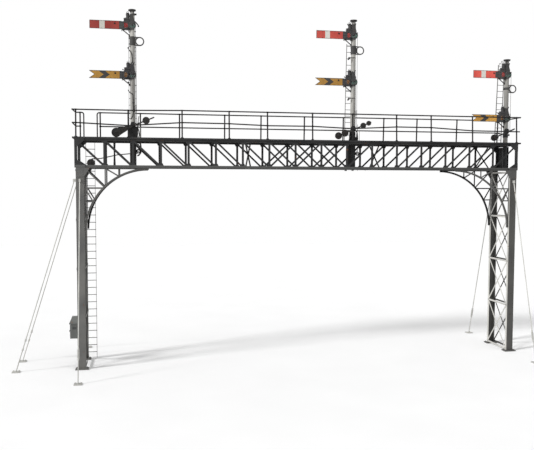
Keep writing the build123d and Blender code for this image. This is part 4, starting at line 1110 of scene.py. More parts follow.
@dataclass
class SignalArm(SubAssembly):
    """Whole look of one signal arm: enamelled blade, dark casting with its two rings, glass and bolts."""

    number: int
    fishtail: bool
    tip: float = 1.36
    deep: float = 0.262
    lens_x: float = -0.215
    crank: float = 0.11
    root: float = -0.34
    drop: float = 0.055
    ring_drop: float = 0.045
    notch: float = 0.17
    face: float = 0.116
    back: float = 0.108
    lens_outer: float = 0.122
    lens_inner: float = 0.083
    ring_outer: float = 0.128
    ring_inner: float = 0.092
    boss: float = 0.046
    casting_back: float = 0.105
    casting_thick: float = 0.014
    crank_half: float = 0.016
    edge_radius: float = 0.0055
    bolt_circle: float = 0.102
    middle_bolt: tuple[float, float] = (-0.56, 0.05)
    band_start: float = 0.31
    band_wide: float = 0.17

    @property
    def kind(self) -> str:
        """First half of the arm's names."""
        return "distant" if self.fishtail else "stop"

    @property
    def pivot(self) -> tuple[float, float]:
        """Place of the arm's pivot in X and Z."""
        up = (self.gantry.distants if self.fishtail else self.gantry.stops)[self.number]
        return self.gantry.x(self.gantry.posts[self.number]), self.gantry.under + up

    def build(self) -> None:
        """Make every piece of the arm."""
        self._blade()
        self._bands()
        self._edges()
        self._casting()
        self._fixings()
        self._glass()

    def _name(self, piece: str) -> str:
        """Full name of one of the arm's pieces."""
        return f"{self.kind}_{piece}_{self.number + 1}"

    def _sheet(self, piece: str, outline: Outline, y: float, thick: float) -> Piece:
        """Flat piece from corners given from the pivot."""
        x, z = self.pivot
        return self.shop.sheet_xz(self._name(piece), [(x + a, z + b) for a, b in outline], y, thick)

    def _dress(self, piece: Piece, finish: str) -> Piece:
        """Give a piece its material on the arm's body."""
        return self.shop.dress(piece, finish, f"{self.kind}_arm_{self.number + 1}")

    def _outline(self) -> Outline:
        """Corners of the blade from the pivot.

        Returns:
            The corners, in order.
        """
        high = self.deep / 2 - self.drop
        low = -self.deep / 2 - self.drop
        corners = [(-self.tip, high), (self.root, high), (self.root, low), (-self.tip, low)]
        return corners + [(-self.tip + self.notch, -self.drop)] if self.fishtail else corners

    def _blade(self) -> None:
        """Enamelled sheet that stands for the whole arm's node."""
        blade = self._sheet("blade", self._outline(), -self.back, self.face - self.back)
        self.shop.bevelled(blade, 0.0015)
        self._dress(blade, f"{self.kind}_paint")
        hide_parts(f"{self.kind}_arm_{self.number + 1}")

    def _bands(self) -> None:
        """Stripe or chevron on the face, and the white back with its own band."""
        half = self.deep / 2
        left, wide = self.band_start - self.tip, self.band_wide
        if self.fishtail:
            back = self.notch
            band = [(left, 0.0), (left - back, half), (left + wide - back, half), (left + wide, 0.0),
                    (left + wide - back, -half), (left - back, -half)]
        else:
            band = [(left, half), (left + wide, half), (left + wide, -half), (left, -half)]
        band = [(a, b - self.drop) for a, b in band]
        front = self._sheet("band", band, -self.face + 0.0002, 0.0012)
        self._dress(front, "black_band" if self.fishtail else "white_band")
        rear = self._sheet("back", self._outline(), -self.back + 0.0012, 0.0014)
        self._dress(rear, "white_band")
        rear_band = self._sheet("back_band", band, -self.back + 0.0022, 0.0012)
        self._dress(rear_band, "black_band")

    def _edges(self) -> None:
        """Rolled edges of the blade with their rivets, in dark iron as painted shade along the blade's edges."""
        shop = self.shop
        corners = self._outline()
        x, z = self.pivot
        bars = []
        heads = []
        wanted = [(0, 1), (2, 3)] + ([(3, 4), (4, 0)] if self.fishtail else [(3, 0)])
        for first, second in wanted:
            a = Vector((x + corners[first][0], -self.face - 0.001, z + corners[first][1]))
            b = Vector((x + corners[second][0], -self.face - 0.001, z + corners[second][1]))
            bars.append(shop.drum("edge", tuple(a), tuple(b), self.edge_radius, 6))
            if abs(b.x - a.x) > 0.5:
                inward = 0.02 if first == 2 else -0.02
                for k in range(7):
                    spot = a.lerp(b, (k + 0.5) / 7)
                    heads.append(((spot.x, -self.face, spot.z + inward), (0, -1, 0)))
        # Dark lever iron on the edges is painted shade along the blade's top and bottom.
        self._dress(shop.joined(self._name("edges"), bars), "lever_iron")
        self._dress(shop.rivets(self._name("edge_rivets"), heads, 0.009, 0.005), "lever_iron")

    def _casting(self) -> None:
        """Dark casting: root clamp, lens ring, open ring round the pivot, spokes, boss and crank."""
        shop = self.shop
        x, z = self.pivot
        low = -self.deep / 2 - self.drop
        high = self.deep / 2 - self.drop
        mid = -self.ring_drop
        reach = self.ring_inner + 0.008
        clamp = [(-0.42, low + 0.008), (-0.42, high - 0.008), (-0.30, high - 0.002), (-0.26, high - 0.03),
                 (-0.26, low + 0.03), (-0.30, low + 0.002)]
        root = [(-0.36, low + 0.004), (-0.36, high - 0.004), (self.lens_x, mid + self.lens_outer), (-0.29, mid + 0.05),
                (-0.30, mid), (-0.29, mid - 0.05), (self.lens_x, mid - self.lens_outer)]
        spoke = [(-0.013, mid - reach), (0.013, mid - reach), (0.013, mid + reach), (-0.013, mid + reach)]
        parts = [
            shop.washer("lens_ring", (x + self.lens_x, -0.104, z + mid), self.lens_outer, self.lens_inner, 0.018),
            shop.washer("open_ring", (x, -self.casting_back, z + mid), self.ring_outer, self.ring_inner,
                        self.casting_thick),
            shop.drum("boss", (x, -0.100, z), (x, -0.124, z), self.boss, 24, 0.003),
            self._sheet("clamp", clamp, -self.face, 0.004),
            self._sheet("root", root, -0.107, 0.012),
            self._sheet("spoke", spoke, -0.106, 0.012),
            self._sheet("arm", [(-0.145, mid - 0.03), (0.0, -0.03), (0.0, 0.03), (-0.145, mid + 0.03)],
                        -self.casting_back, self.casting_thick),
        ]
        c, s = spun(1.0, self.gantry.crank_angle)
        half = self.crank_half
        along = [(0.0, half), (self.crank, half), (self.crank, -half), (0.0, -half)]
        crank = [(a * c - b * s, a * s + b * c) for a, b in along]
        parts.append(self._sheet("crank", crank, -self.casting_back, self.casting_thick))
        ex, ez = x + self.crank * c, z + self.crank * s
        back, face = -self.casting_back, -self.casting_back - self.casting_thick
        parts.append(shop.drum("eye", (ex, back, ez), (ex, face, ez), 0.018, 16, 0.002))
        parts.append(shop.drum("pin", (ex, back, ez), (ex, -0.150, ez), 0.0078, 10, 0.002))
        parts.append(shop.hoop("rim", (x + self.lens_x, -0.1225, z + mid), (0, 1, 0), 0.103, 0.005))
        casting = self._dress(shop.joined(self._name("casting"), parts), "arm_casting")
        shop.bevelled(casting, 0.0012)

    def _fixings(self) -> None:
        """Clamp bolts, the blade's middle bolt, hub nut and split pin."""
        shop = self.shop
        x, z = self.pivot
        mid = z - self.drop
        bolts = [((x + a, -0.120, mid + b * self.deep), (0, -1, 0)) for a in (-0.395, -0.33)
                 for b in (-0.36, 0.0, 0.36)]
        for turn in (0.8, 2.35, 3.95, 5.5):
            a, b = self.bolt_circle * math.cos(turn), self.bolt_circle * math.sin(turn)
            bolts.append(((x + self.lens_x + a, -0.122, z - self.ring_drop + b), (0, -1, 0)))
        self._dress(shop.nuts(self._name("clamp_bolts"), bolts, 0.0095, 0.009), "lever_iron")
        bx, bz = x + self.middle_bolt[0], mid + self.middle_bolt[1]
        plate = shop.drum("plate", (bx, -self.face, bz), (bx, -self.face - 0.004, bz), 0.03, 16, 0.001)
        head = shop.drum("head", (bx, -self.face - 0.003, bz), (bx, -self.face - 0.015, bz), 0.018, 6, 0.002)
        self._dress(shop.joined(self._name("middle_bolt"), [plate, head]), "lever_iron")
        if self.number == 2 and not self.fishtail:
            half = self.deep / 2 - 0.022
            low, high = -half - self.drop, half - self.drop
            root = self._sheet("root_plate", [(-0.51, low), (-0.415, low), (-0.415, high), (-0.51, high)],
                               -self.face, 0.004)
            self._dress(shop.bevelled(root, 0.001), "fitting_paint")
        nut = shop.drum("nut", (x, -0.1362, z), (x, -0.150, z), 0.026, 6, 0.003)
        pin = shop.drum("split_pin", (x - 0.03, -0.145, z), (x + 0.03, -0.145, z), 0.003, 6)
        end = shop.drum("end", (x, -0.149, z), (x, -0.158, z), 0.013, 12, 0.002)
        shop.made(self._name("spindle_nut"), [nut, pin, end], "fitting_paint")

    def _glass(self) -> None:
        """Round glass in each ring."""
        shop = self.shop
        x, z = self.pivot
        lens, low = x + self.lens_x, z - self.ring_drop
        glass = shop.drum(self._name("glass"), (lens, -0.116, low), (lens, -0.108, low), self.lens_inner + 0.002, 32,
                          0.003)
        self._dress(glass, "amber_glass" if self.fishtail else "red_glass")
        second = shop.drum(self._name("second_glass"), (x, -0.1045, low), (x, -0.1005, low), self.ring_inner + 0.002,
                           32, 0.001)
        self._dress(second, "green_glass")


@dataclass
class SignalLamps(SubAssembly):
    """Doors, glasses, hinges, caps and shelf fixings of the six lamps."""

    left: float = -0.27
    right: float = -0.08
    front: float = 0.076
    rear: float = 0.052
    shelf: float = 0.18
    tall: float = 0.32
    chimney_x: float = -0.142
    top: float = 0.372
    axis_y: float = -0.013
    lens_x: float = -0.175
    stile: float = 0.012
    proud: float = 0.004
    hinges: tuple[float, ...] = (0.05, 0.14, 0.23)
    collars: tuple = ((-0.055, 0.060), (-0.034, 0.062))
    vents: tuple[float, float] = (0.054, 0.062)
    handle: tuple = ((-0.04, -0.02), (-0.035, 0.03), (0.0, 0.045), (0.035, 0.03), (0.04, -0.02))

    def build(self) -> None:
        """Dress every lamp."""
        for number, post in enumerate(self.gantry.posts):
            for kind, ups in (("stop", self.gantry.stops), ("distant", self.gantry.distants)):
                self._lamp(kind, number, self.gantry.x(post), self.gantry.under + ups[number])

    def _lamp(self, kind: str, number: int, x: float, z: float) -> None:
        """Dress one lamp.

        Args:
            kind: Kind of the arm that it lights.
            number: Number of its post, from 0.
            x: Place of the post's axis.
            z: Height of the arm's pivot.
        """
        shop = self.shop
        low = z - self.shelf + 0.012
        high = low + self.tall - 0.01
        mid = (self.left + self.right) / 2
        left, right, wide = x + self.left + 0.006, x + self.right - 0.006, self.stile
        bars = ((left, low, left + wide, high), (right - wide, low, right, high),
                (left, high - wide, right, high), (left, low, right, low + wide))
        parts = [shop.block("bar", (x0, -self.front - self.proud, z0), (x1, -self.front + 0.002, z1))
                 for x0, z0, x1, z1 in bars]
        parts += [
            shop.hoop("bezel", (x + self.lens_x, -0.0885, z), (0, 1, 0), 0.056, 0.006, 24),
            shop.block("side_door", (x + self.left - 0.005, -0.055, low + 0.02),
                       (x + self.left + 0.002, 0.035, high - 0.03), 0.002),
            shop.drum("latch", (x + self.left - 0.012, 0.02, z), (x + self.left - 0.002, 0.02, z), 0.010, 10, 0.002),
            shop.drum("rear_bezel", (x + mid, self.rear - 0.002, z), (x + mid, self.rear + 0.010, z), 0.030, 20,
                      0.003),
        ]
        for up in self.hinges:
            hinge = (x + self.left - 0.004, -0.060)
            parts.append(shop.drum("hinge", (*hinge, low + up), (*hinge, low + up + 0.03), 0.006, 8))
        cap = z + self.top
        for up, radius in self.collars:
            parts.append(shop.hoop("collar", (x + self.chimney_x, self.axis_y, cap + up), (0, 0, 1), radius - 0.002,
                                   0.005, 24))
        for k in range(8):
            cx, cy = spun(1.0, 45 * k)
            ends = [(x + self.chimney_x + r * cx, self.axis_y + r * cy, cap - 0.085) for r in self.vents]
            parts.append(shop.drum("vent", *ends, 0.008, 6))
        parts.append(shop.run("handle", flat(x + self.chimney_x, self.axis_y, cap, self.handle), 0.0055, 8))
        parts += self._knobs(kind, x, z)
        shop.made(f"{kind}_lamp_door_{number + 1}", parts, "lamp_paint")
        lens = x + self.lens_x
        front = shop.drum(f"{kind}_lamp_glass_{number + 1}", (lens, -0.086, z), (lens, -0.093, z), 0.052, 24, 0.003)
        shop.dress(front, "clear_glass")
        back = shop.drum(f"{kind}_back_glass_{number + 1}", (x + mid, self.rear + 0.008, z),
                         (x + mid, self.rear + 0.013, z), 0.022, 20, 0.002)
        shop.dress(back, "clear_glass")
        self._shelf(kind, number, x, z)

    def _knobs(self, kind: str, x: float, z: float) -> list[Piece]:
        """Round lifting knobs on the lamp's left shoulder.

        Args:
            kind: Kind of the arm that the lamp lights.
            x: Place of the post's axis.
            z: Height of the arm's pivot.

        Returns:
            The pieces.
        """
        shop = self.shop
        places = [(-0.258, 0.185)] if kind == "stop" else [(-0.258, 0.19), (-0.315, 0.135)]
        made = []
        for a, b in places:
            knob = (x + a, self.axis_y, z + b)
            made.append(shop.ball("knob", knob, 0.022))
            foot = (x + max(a, -0.262), self.axis_y, z + min(b, 0.13) - 0.02)
            made.append(shop.drum("stem", foot, knob, 0.009, 8))
        return made

    def _shelf(self, kind: str, number: int, x: float, z: float) -> None:
        """Clips, bolts and brace bolts of the lamp's shelf.

        Args:
            kind: Kind of the arm that the lamp lights.
            number: Number of the post, from 0.
            x: Place of the post's axis.
            z: Height of the arm's pivot.
        """
        shop = self.shop
        under = z - self.shelf
        clips = [
            shop.block("clip", (x - 0.345, -0.088, under - 0.022), (x - 0.325, 0.062, under + 0.03), 0.003),
            shop.block("clip", (x - 0.30, -0.05, under - 0.030), (x - 0.26, 0.02, under + 0.001), 0.004),
            shop.block("lug", (x - 0.125, -0.06, under - 0.055), (x - 0.095, -0.02, under + 0.001), 0.004),
            shop.block("lug", (x - 0.085, -0.088, under - 0.035), (x - 0.06, -0.06, under + 0.009), 0.003),
        ]
        shop.made(f"{kind}_shelf_clips_{number + 1}", clips, "lamp_paint")
        bolts = [((x - 0.335, y, under - 0.022), (0, 0, -1)) for y in (-0.06, 0.035)]
        bolts += [((x - 0.28, -0.015, under - 0.030), (0, 0, -1)), ((x - 0.096, -0.026, under - 0.155), (-1, 0, 0)),
                  ((x - 0.096, -0.026, under - 0.19), (-1, 0, 0)), ((x - 0.096, 0.026, under - 0.172), (-1, 0, 0))]
        shop.dress(shop.nuts(f"{kind}_shelf_bolts_{number + 1}", bolts, 0.011, 0.013), "fitting_paint")


@dataclass
class PostDetails(SubAssembly):
    """Bolts, bands, hooks, cables and foot details of the three signal posts."""

    radius: float = 0.084
    ring_drop: float = 0.54
    bands: tuple[float, float, float] = (0.145, 0.145, 0.04)
    brim: float = 0.122
    cap_high: float = 0.21
    bracket_face: float = 0.095
    sleeve: float = 0.0965
    ring_x: float = 0.24
    rim: tuple[float, float, float] = (0.149, 0.110, 0.006)
    round_rim: tuple[float, float] = (0.134, 0.018)
    flange_top: float = 0.0143
    band_heights: tuple[float, ...] = (0.03, 0.20, 0.335)
    flute_circle: float = 0.0975
    arm_bolts: tuple = ((-0.048, -0.155), (0.035, -0.15), (-0.062, 0.12), (0.064, 0.10), (-0.055, 0.27), (0.03, 0.21))
    lever_bolts: tuple = ((-0.045, -0.04), (0.045, -0.04), (-0.035, 0.11), (0.035, 0.11))
    scroll: tuple = ((0.078, 0.014), (0.070, 0.05), (0.058, 0.09), (0.074, 0.13), (0.094, 0.166))
    flange_bolts: tuple = ((-0.12, -0.085), (0.12, -0.085), (-0.12, 0.118), (0.12, 0.118), (0.0, 0.118))
    guides: tuple = (((0.150, 0.37), (0.190, 0.26), (0.205, 0.12), (0.185, 0.03), (0.165, 0.0)),
                     ((-0.06, 0.42), (-0.115, 0.35), (-0.125, 0.18), (-0.132, 0.01)),
                     ((0.07, 0.42), (0.15, 0.31), (0.172, 0.13), (0.165, 0.0)))
    spike: tuple = ((0.150, 0.37), (0.168, 0.56), (0.195, 0.74))
    cable_upper: tuple = ((-0.060, -0.074, 10.55), (-0.112, -0.060, 10.52), (-0.140, -0.052, 10.49),
                          (-0.120, -0.064, 10.44), (-0.070, -0.080, 10.38), (-0.028, -0.094, 10.30),
                          (-0.006, -0.095, 10.16), (0.0, -0.095, 10.02))
    cable_lower: tuple = ((-0.150, 0.02, 9.13), (-0.120, -0.055, 9.06), (-0.060, -0.080, 9.00),
                          (-0.012, -0.095, 8.99), (0.012, -0.095, 8.93), (0.016, -0.095, 8.60),
                          (0.012, -0.095, 8.36), (-0.010, -0.095, 8.26), (-0.050, -0.083, 8.20),
                          (-0.080, -0.054, 8.16))
    cable_tail: tuple = ((-0.085, -0.03, 9.35), (-0.135, -0.03, 9.37), (-0.108, -0.04, 9.29), (-0.085, -0.04, 9.24))
    cable_knobs: tuple = ((-0.135, -0.05, 10.49), (-0.02, -0.098, 10.0), (-0.135, -0.03, 9.37), (-0.108, -0.04, 9.29))
    clip_heights: tuple[float, float] = (8.42, 8.70)
    hook_heights: tuple[float, float] = (10.43, 9.03)
    lump_heights: tuple[float, float] = (11.035, 10.525)

    def build(self) -> None:
        """Dress every post."""
        for number, post in enumerate(self.gantry.posts):
            x = self.gantry.x(post)
            self._brackets(number, x)
            self._band(number, x)
            self._cap(number, x)
        self._feet()
        self._cables()
        self._hooks()

    def _brackets(self, number: int, x: float) -> None:
        """Bolts and bearing plates of the brackets on one post.

        Args:
            number: Number of the post, from 0.
            x: Place of the post's axis.
        """
        g, shop = self.gantry, self.shop
        heads = []
        plates = []
        for up in (g.stops[number], g.distants[number]):
            z = g.under + up
            heads += [(spot, (0, -1, 0)) for spot in flat(x, -self.bracket_face, z, self.arm_bolts)]
            plates.append(shop.drum("bearing", (x, -0.0945, z - 0.045), (x, -0.0975, z - 0.045), 0.08, 32, 0.001))
        z = g.deck_top + g.pivot_up
        heads += [(spot, (0, -1, 0)) for spot in flat(x, -self.bracket_face - 0.004, z, self.lever_bolts)]
        shop.dress(shop.nuts(f"bracket_bolts_{number + 1}", heads, 0.011, 0.0033), "fitting_paint")
        shop.made(f"bearing_plates_{number + 1}", plates, "arm_casting")
        nut = shop.drum("nut", (x, -0.180, z), (x, -0.194, z), 0.024, 6, 0.003)
        end = shop.drum("end", (x, -0.193, z), (x, -0.203, z), 0.012, 12, 0.002)
        shop.made(f"pivot_nut_{number + 1}", [nut, end], "fitting_paint")

    def _band(self, number: int, x: float) -> None:
        """Edge beads and clamp bolts of the band that carries the ring.

        Args:
            number: Number of the post, from 0.
            x: Place of the post's axis.
        """
        g, shop = self.gantry, self.shop
        z = g.under + g.stops[number] - self.ring_drop
        half = self.bands[number]
        parts = [shop.hoop("bead", (x, 0, z + way * (half - 0.008)), (0, 0, 1), self.radius + 0.008, 0.005, 32)
                 for way in (-1, 1)]
        parts.append(shop.washer("rim", (x + self.ring_x, -0.011, z), *self.rim))
        bolts = [((x - self.radius - 0.008, y, z + up), (-1, 0, 0)) for y in (-0.02, 0.02)
                 for up in (-half * 0.6, half * 0.6)]
        parts.append(shop.nuts("bolts", bolts, 0.010, 0.012))
        parts.append(shop.block("pad", (x + self.radius, -0.028, z - half + 0.004),
                                (x + self.radius + 0.020, 0.028, z + half - 0.004), 0.003))
        shop.made(f"ring_band_{number + 1}", parts, "fitting_paint")

    def _cap(self, number: int, x: float) -> None:
        """Beads and open scroll straps of the finial.

        Args:
            number: Number of the post, from 0.
            x: Place of the post's axis.
        """
        shop = self.shop
        z = self.gantry.under + self.gantry.post_tops[number]
        parts = [shop.hoop("bead", (x, 0, z + share * self.cap_high), (0, 0, 1), self.brim - 0.003, 0.005, 36)
                 for share in (0.8, 0.95)]
        parts += [
            shop.hoop("foot", (x, 0, z + 0.010), (0, 0, 1), self.radius - 0.002, 0.006, 32),
            shop.drum("brim", (x, 0, z + 0.795 * self.cap_high), (x, 0, z + 0.955 * self.cap_high), self.brim + 0.0015,
                      36, 0.002),
        ]
        for k in range(4):
            c, s = spun(1.0, 90 * k + 45)
            points = [(r * c + x, r * s, z + up) for r, up in self.scroll]
            parts.append(shop.run("scroll", points, 0.009, 6))
        shop.made(f"cap_beads_{number + 1}", parts, "lever_iron")
        neck = shop.drum("neck", (x, 0, z + 0.045), (x, 0, z + 0.145), 0.052, 28, 0.006)
        shop.made(f"cap_neck_{number + 1}", [neck], "post_paint")

    def _feet(self) -> None:
        """Bolts, bands, guides and ribs of the two foot castings, with flutes and a roller on the second."""
        g, shop = self.gantry, self.shop
        bolts = []
        for number in (0, 1):
            x = g.x(g.posts[number])
            z = g.deck_top
            bolts += [((x + a, b, z + self.flange_top), (0, 0, 1)) for a, b in self.flange_bolts]
            parts = [shop.hoop("band", (x, 0, z + up), (0, 0, 1), self.sleeve, 0.007, 32) for up in self.band_heights]
            if number == 1:
                for k in range(12):
                    a, b = spun(self.flute_circle, 30 * k)
                    parts.append(shop.drum("flute", (x + a, b, z + 0.04), (x + a, b, z + 0.325), 0.0075, 6))
                a, b = x + 0.115, z + 0.085
                parts.append(shop.drum("roller", (a, -0.05, b), (a, -0.012, b), 0.072, 20, 0.004))
                for guide in self.guides[1:]:
                    parts.append(shop.run("guide", flat(x, -0.06, z, guide), 0.018, 8))
            else:
                parts.append(shop.block("housing", (x - 0.136, -0.086, z + 0.02), (x + 0.158, 0.086, z + 0.40), 0.02))
                parts.append(shop.run("guide", flat(x, -0.05, z, self.guides[0]), 0.017, 8))
                parts.append(shop.run("spike", flat(x, -0.05, z, self.spike), 0.012, 8))
            for k in range(4):
                c, s = spun(1.0, 40 * k - 150)
                for up in (0.11, 0.27):
                    stud = ((x + self.sleeve * c, self.sleeve * s, z + up), (c, s, 0.0))
                    parts.append(shop.nuts("stud", [stud], 0.011, 0.012))
            for way in (-1, 1):
                parts.append(shop.block("rib", (x + way * 0.118 - 0.02, -0.012, z + 0.055),
                                        (x + way * 0.118 + 0.02, 0.012, z + 0.075), 0.003))
            shop.made(f"foot_bands_{number + 1}", parts, "fitting_paint")
        shop.dress(shop.nuts("foot_bolts", bolts, 0.015, 0.016), "fitting_paint")

    def _cables(self) -> None:
        """Lamp cables that loop round the first post and run down its front."""
        shop = self.shop
        x = self.gantry.x(self.gantry.posts[0])
        front = -self.radius
        parts = [shop.run("cable", [(x + a, b, c) for a, b, c in path], 0.0115, 8)
                 for path in (self.cable_upper, self.cable_lower)]
        parts += [shop.ball("knob", (x + a, b, c), 0.026) for a, b, c in self.cable_knobs]
        parts.append(shop.run("tail", [(x + a, b, c) for a, b, c in self.cable_tail], 0.010, 8))
        shop.made("lamp_cables", parts, "cable_rubber")
        clips = [shop.block("clip", (x - 0.014, front - 0.024, z), (x + 0.042, front + 0.004, z + 0.022), 0.003)
                 for z in self.clip_heights]
        shop.made("cable_clips", clips, "fitting_paint")

    def _hooks(self) -> None:
        """Pulley brackets at the second post, lumps at the first, loops and a round rim at the third."""
        g, shop = self.gantry, self.shop
        x = g.x(g.posts[1])
        parts = []
        for z in self.hook_heights:
            parts.append(shop.hoop("band", (x, 0, z), (0, 0, 1), self.radius + 0.002, 0.008, 32))
            parts.append(shop.block("bar", (x - 0.19, -0.094, z - 0.010), (x + 0.01, -0.084, z + 0.010), 0.002))
            a, b = x - 0.175, z - 0.02
            parts.append(shop.drum("pulley", (a, -0.110, b), (a, -0.070, b), 0.034, 16, 0.004))
            a, b = x - 0.205, z - 0.062
            parts.append(shop.drum("pulley", (a, -0.102, b), (a, -0.078, b), 0.026, 14, 0.004))
            parts.append(shop.block("link", (x - 0.208, -0.095, z - 0.066), (x - 0.17, -0.085, z + 0.005), 0.002))
        x = g.x(g.posts[0])
        ear = g.under + g.stops[0]
        parts.append(shop.block("ear", (x + 0.060, -0.03, ear + 0.305), (x + 0.145, 0.01, ear + 0.362), 0.008))
        spike = [(0.075, 0.10), (0.125, 0.055), (0.17, 0.0), (0.212, -0.058), (0.185, -0.078)]
        parts.append(shop.run("spike", flat(x, -0.075, ear, spike), 0.018, 8))
        for a, b in ((-0.095, -0.25), (-0.100, -0.39)):
            parts.append(shop.ball("knob", (x + a, -0.02, ear + b), 0.020))
        for z in self.lump_heights:
            parts.append(shop.drum("lump", (x + 0.09, -0.02, z), (x + 0.118, -0.02, z), 0.022, 12, 0.004))
            parts.append(shop.block("strap", (x + 0.07, -0.03, z - 0.008), (x + 0.10, -0.01, z + 0.008), 0.002))
        z = g.under + g.stops[1]
        x = g.x(g.posts[1])
        wire = [(-0.15, 0.30), (-0.205, 0.31), (-0.215, 0.35)]
        parts.append(shop.run("wire", flat(x, 0.0, z, wire), 0.009, 6))
        parts.append(shop.ball("knob", (x - 0.215, 0.0, z + 0.355), 0.019))
        x = g.x(g.posts[2])
        z = g.under + g.stops[2]
        for a, b in ((-0.25, 0.36), (-0.17, 0.44)):
            loop = [(-0.04, -0.07), (-0.04, 0.0), (0.0, 0.025), (0.03, 0.0), (0.02, -0.05)]
            parts.append(shop.run("loop", flat(x + a, 0.02, z + b, loop), 0.007, 6))
        parts.append(shop.hoop("ring", (x + self.ring_x, 0, z - self.ring_drop), (0, 1, 0), *self.round_rim, 40))
        shop.made("pulley_brackets", parts, "lever_iron")


@dataclass
class LeverDetails(SubAssembly):
    """Rims and bolts of the balance levers, and the sleeves of their rods."""

    cranks: tuple[float, float] = (0.11, 0.06)
    rod_y: float = -0.135
    stop_depth: float = 0.1125
    distant_depth: float = 0.1615
    weight_half: float = 0.015
    rims_proud: tuple[float, float, float] = (0.009, 0.022, 0.009)
    rim_wide: float = 0.014
    sleeve_up: float = 0.45
    lumps: tuple[float, ...] = (0.16, 0.30, 0.44, 0.58, 0.72, 0.86)
    stop_weights: tuple = (((-0.590, 0.145),), ((-0.585, 0.102), (0.600, 0.064)), ((-0.550, 0.108),))
    distant_weights: tuple = (((-0.250, 0.070), (0.463, 0.112)), ((-0.348, 0.100), (0.365, 0.080)), ((-0.490, 0.085),))

    def build(self) -> None:
        """Dress every lever and rod."""
        g = self.gantry
        for number, post in enumerate(g.posts):
            x = g.x(post)
            z = g.deck_top + g.pivot_up
            for kind, depth, weights, crank, up in (
                ("stop", self.stop_depth, self.stop_weights[number], self.cranks[0], g.stops[number]),
                ("distant", self.distant_depth, self.distant_weights[number], self.cranks[1], g.distants[number]),
            ):
                self._lever(f"{kind}_lever_{number + 1}", (x, z), depth, weights, self.rims_proud[number])
                self._rod(f"{kind}_rod_{number + 1}", x, z, g.under + up, crank)

    def _spot(self, centre: tuple[float, float], along: float) -> tuple[float, float]:
        """Place on a lever at a distance from its pivot."""
        a, b = spun(along, self.gantry.crank_angle)
        return centre[0] + a, centre[1] + b

    def _lever(self, body: str, centre: tuple[float, float], depth: float, weights: tuple, proud: float) -> None:
        """Raised rims and bolts of one lever's weights, and its hub's washer.

        Args:
            body: Name of the CAD body.
            centre: Place of its pivot in X and Z.
            depth: Depth of the lever's middle plane.
            weights: Place along the lever and radius of each weight.
            proud: How far the rims stand past the weights.
        """
        shop = self.shop
        face = -depth - self.weight_half
        parts = []
        for along, radius in weights:
            x, z = self._spot(centre, along)
            parts.append(shop.washer("rim", (x, face + 0.006, z), radius + proud, radius - self.rim_wide, 0.009, 32))
            parts.append(shop.drum("boss", (x, face + 0.001, z), (x, face - 0.006, z), radius * 0.34, 20, 0.003))
            parts.append(shop.nuts("bolt", [((x, face - 0.005, z), (0, -1, 0))], 0.014, 0.012))
            parts.append(shop.washer("rim", (x, face + 2 * self.weight_half + 0.003, z), radius + proud,
                                     radius - self.rim_wide, 0.009, 32))
            for way in (-1, 1):
                a, b = self._spot(centre, along + way * radius * 0.62)
                parts.append(shop.nuts("bolt", [((a, face, b), (0, -1, 0))], 0.009, 0.007))
        if body == "stop_lever_1":
            for share in self.lumps:
                x, z = self._spot(centre, -0.08 - share * 0.42)
                rise = 0.035 + share * 0.085
                up, left = spun(rise, self.gantry.crank_angle)
                x, z = x - left, z + up
                parts.append(shop.drum("lump", (x, -depth - 0.012, z), (x, -depth + 0.012, z), 0.016, 10, 0.002))
        parts.append(shop.washer("hub", (centre[0], -depth - 0.0060, centre[1]), 0.033, 0.0175, 0.0035, 24))
        shop.made(f"{body}_rims", parts, "lever_iron", body)

    def _rod(self, body: str, x: float, low: float, high: float, crank: float) -> None:
        """Adjusting sleeve and lock nuts of one push rod.

        Args:
            body: Name of the CAD body.
            x: Place of the post's axis.
            low: Height of the lever's pivot.
            high: Height of the arm's pivot.
            crank: Length of the cranks.
        """
        shop = self.shop
        along, up = spun(crank, self.gantry.crank_angle)
        a = x + along
        z = low + up + self.sleeve_up
        parts = [shop.drum("sleeve", (a, self.rod_y, z), (a, self.rod_y, z + 0.16), 0.012, 8, 0.002)]
        for start, end in ((z - 0.016, z - 0.001), (z + 0.161, z + 0.176)):
            parts.append(shop.drum("nut", (a, self.rod_y, start), (a, self.rod_y, end), 0.0135, 6))
        for start, end in ((high + up - 0.06, high + up - 0.018), (low + up + 0.018, low + up + 0.06)):
            parts.append(shop.drum("neck", (a, self.rod_y, start), (a, self.rod_y, end), 0.011, 8, 0.002))
        shop.made(f"{body}_sleeve", parts, "lever_iron", body)


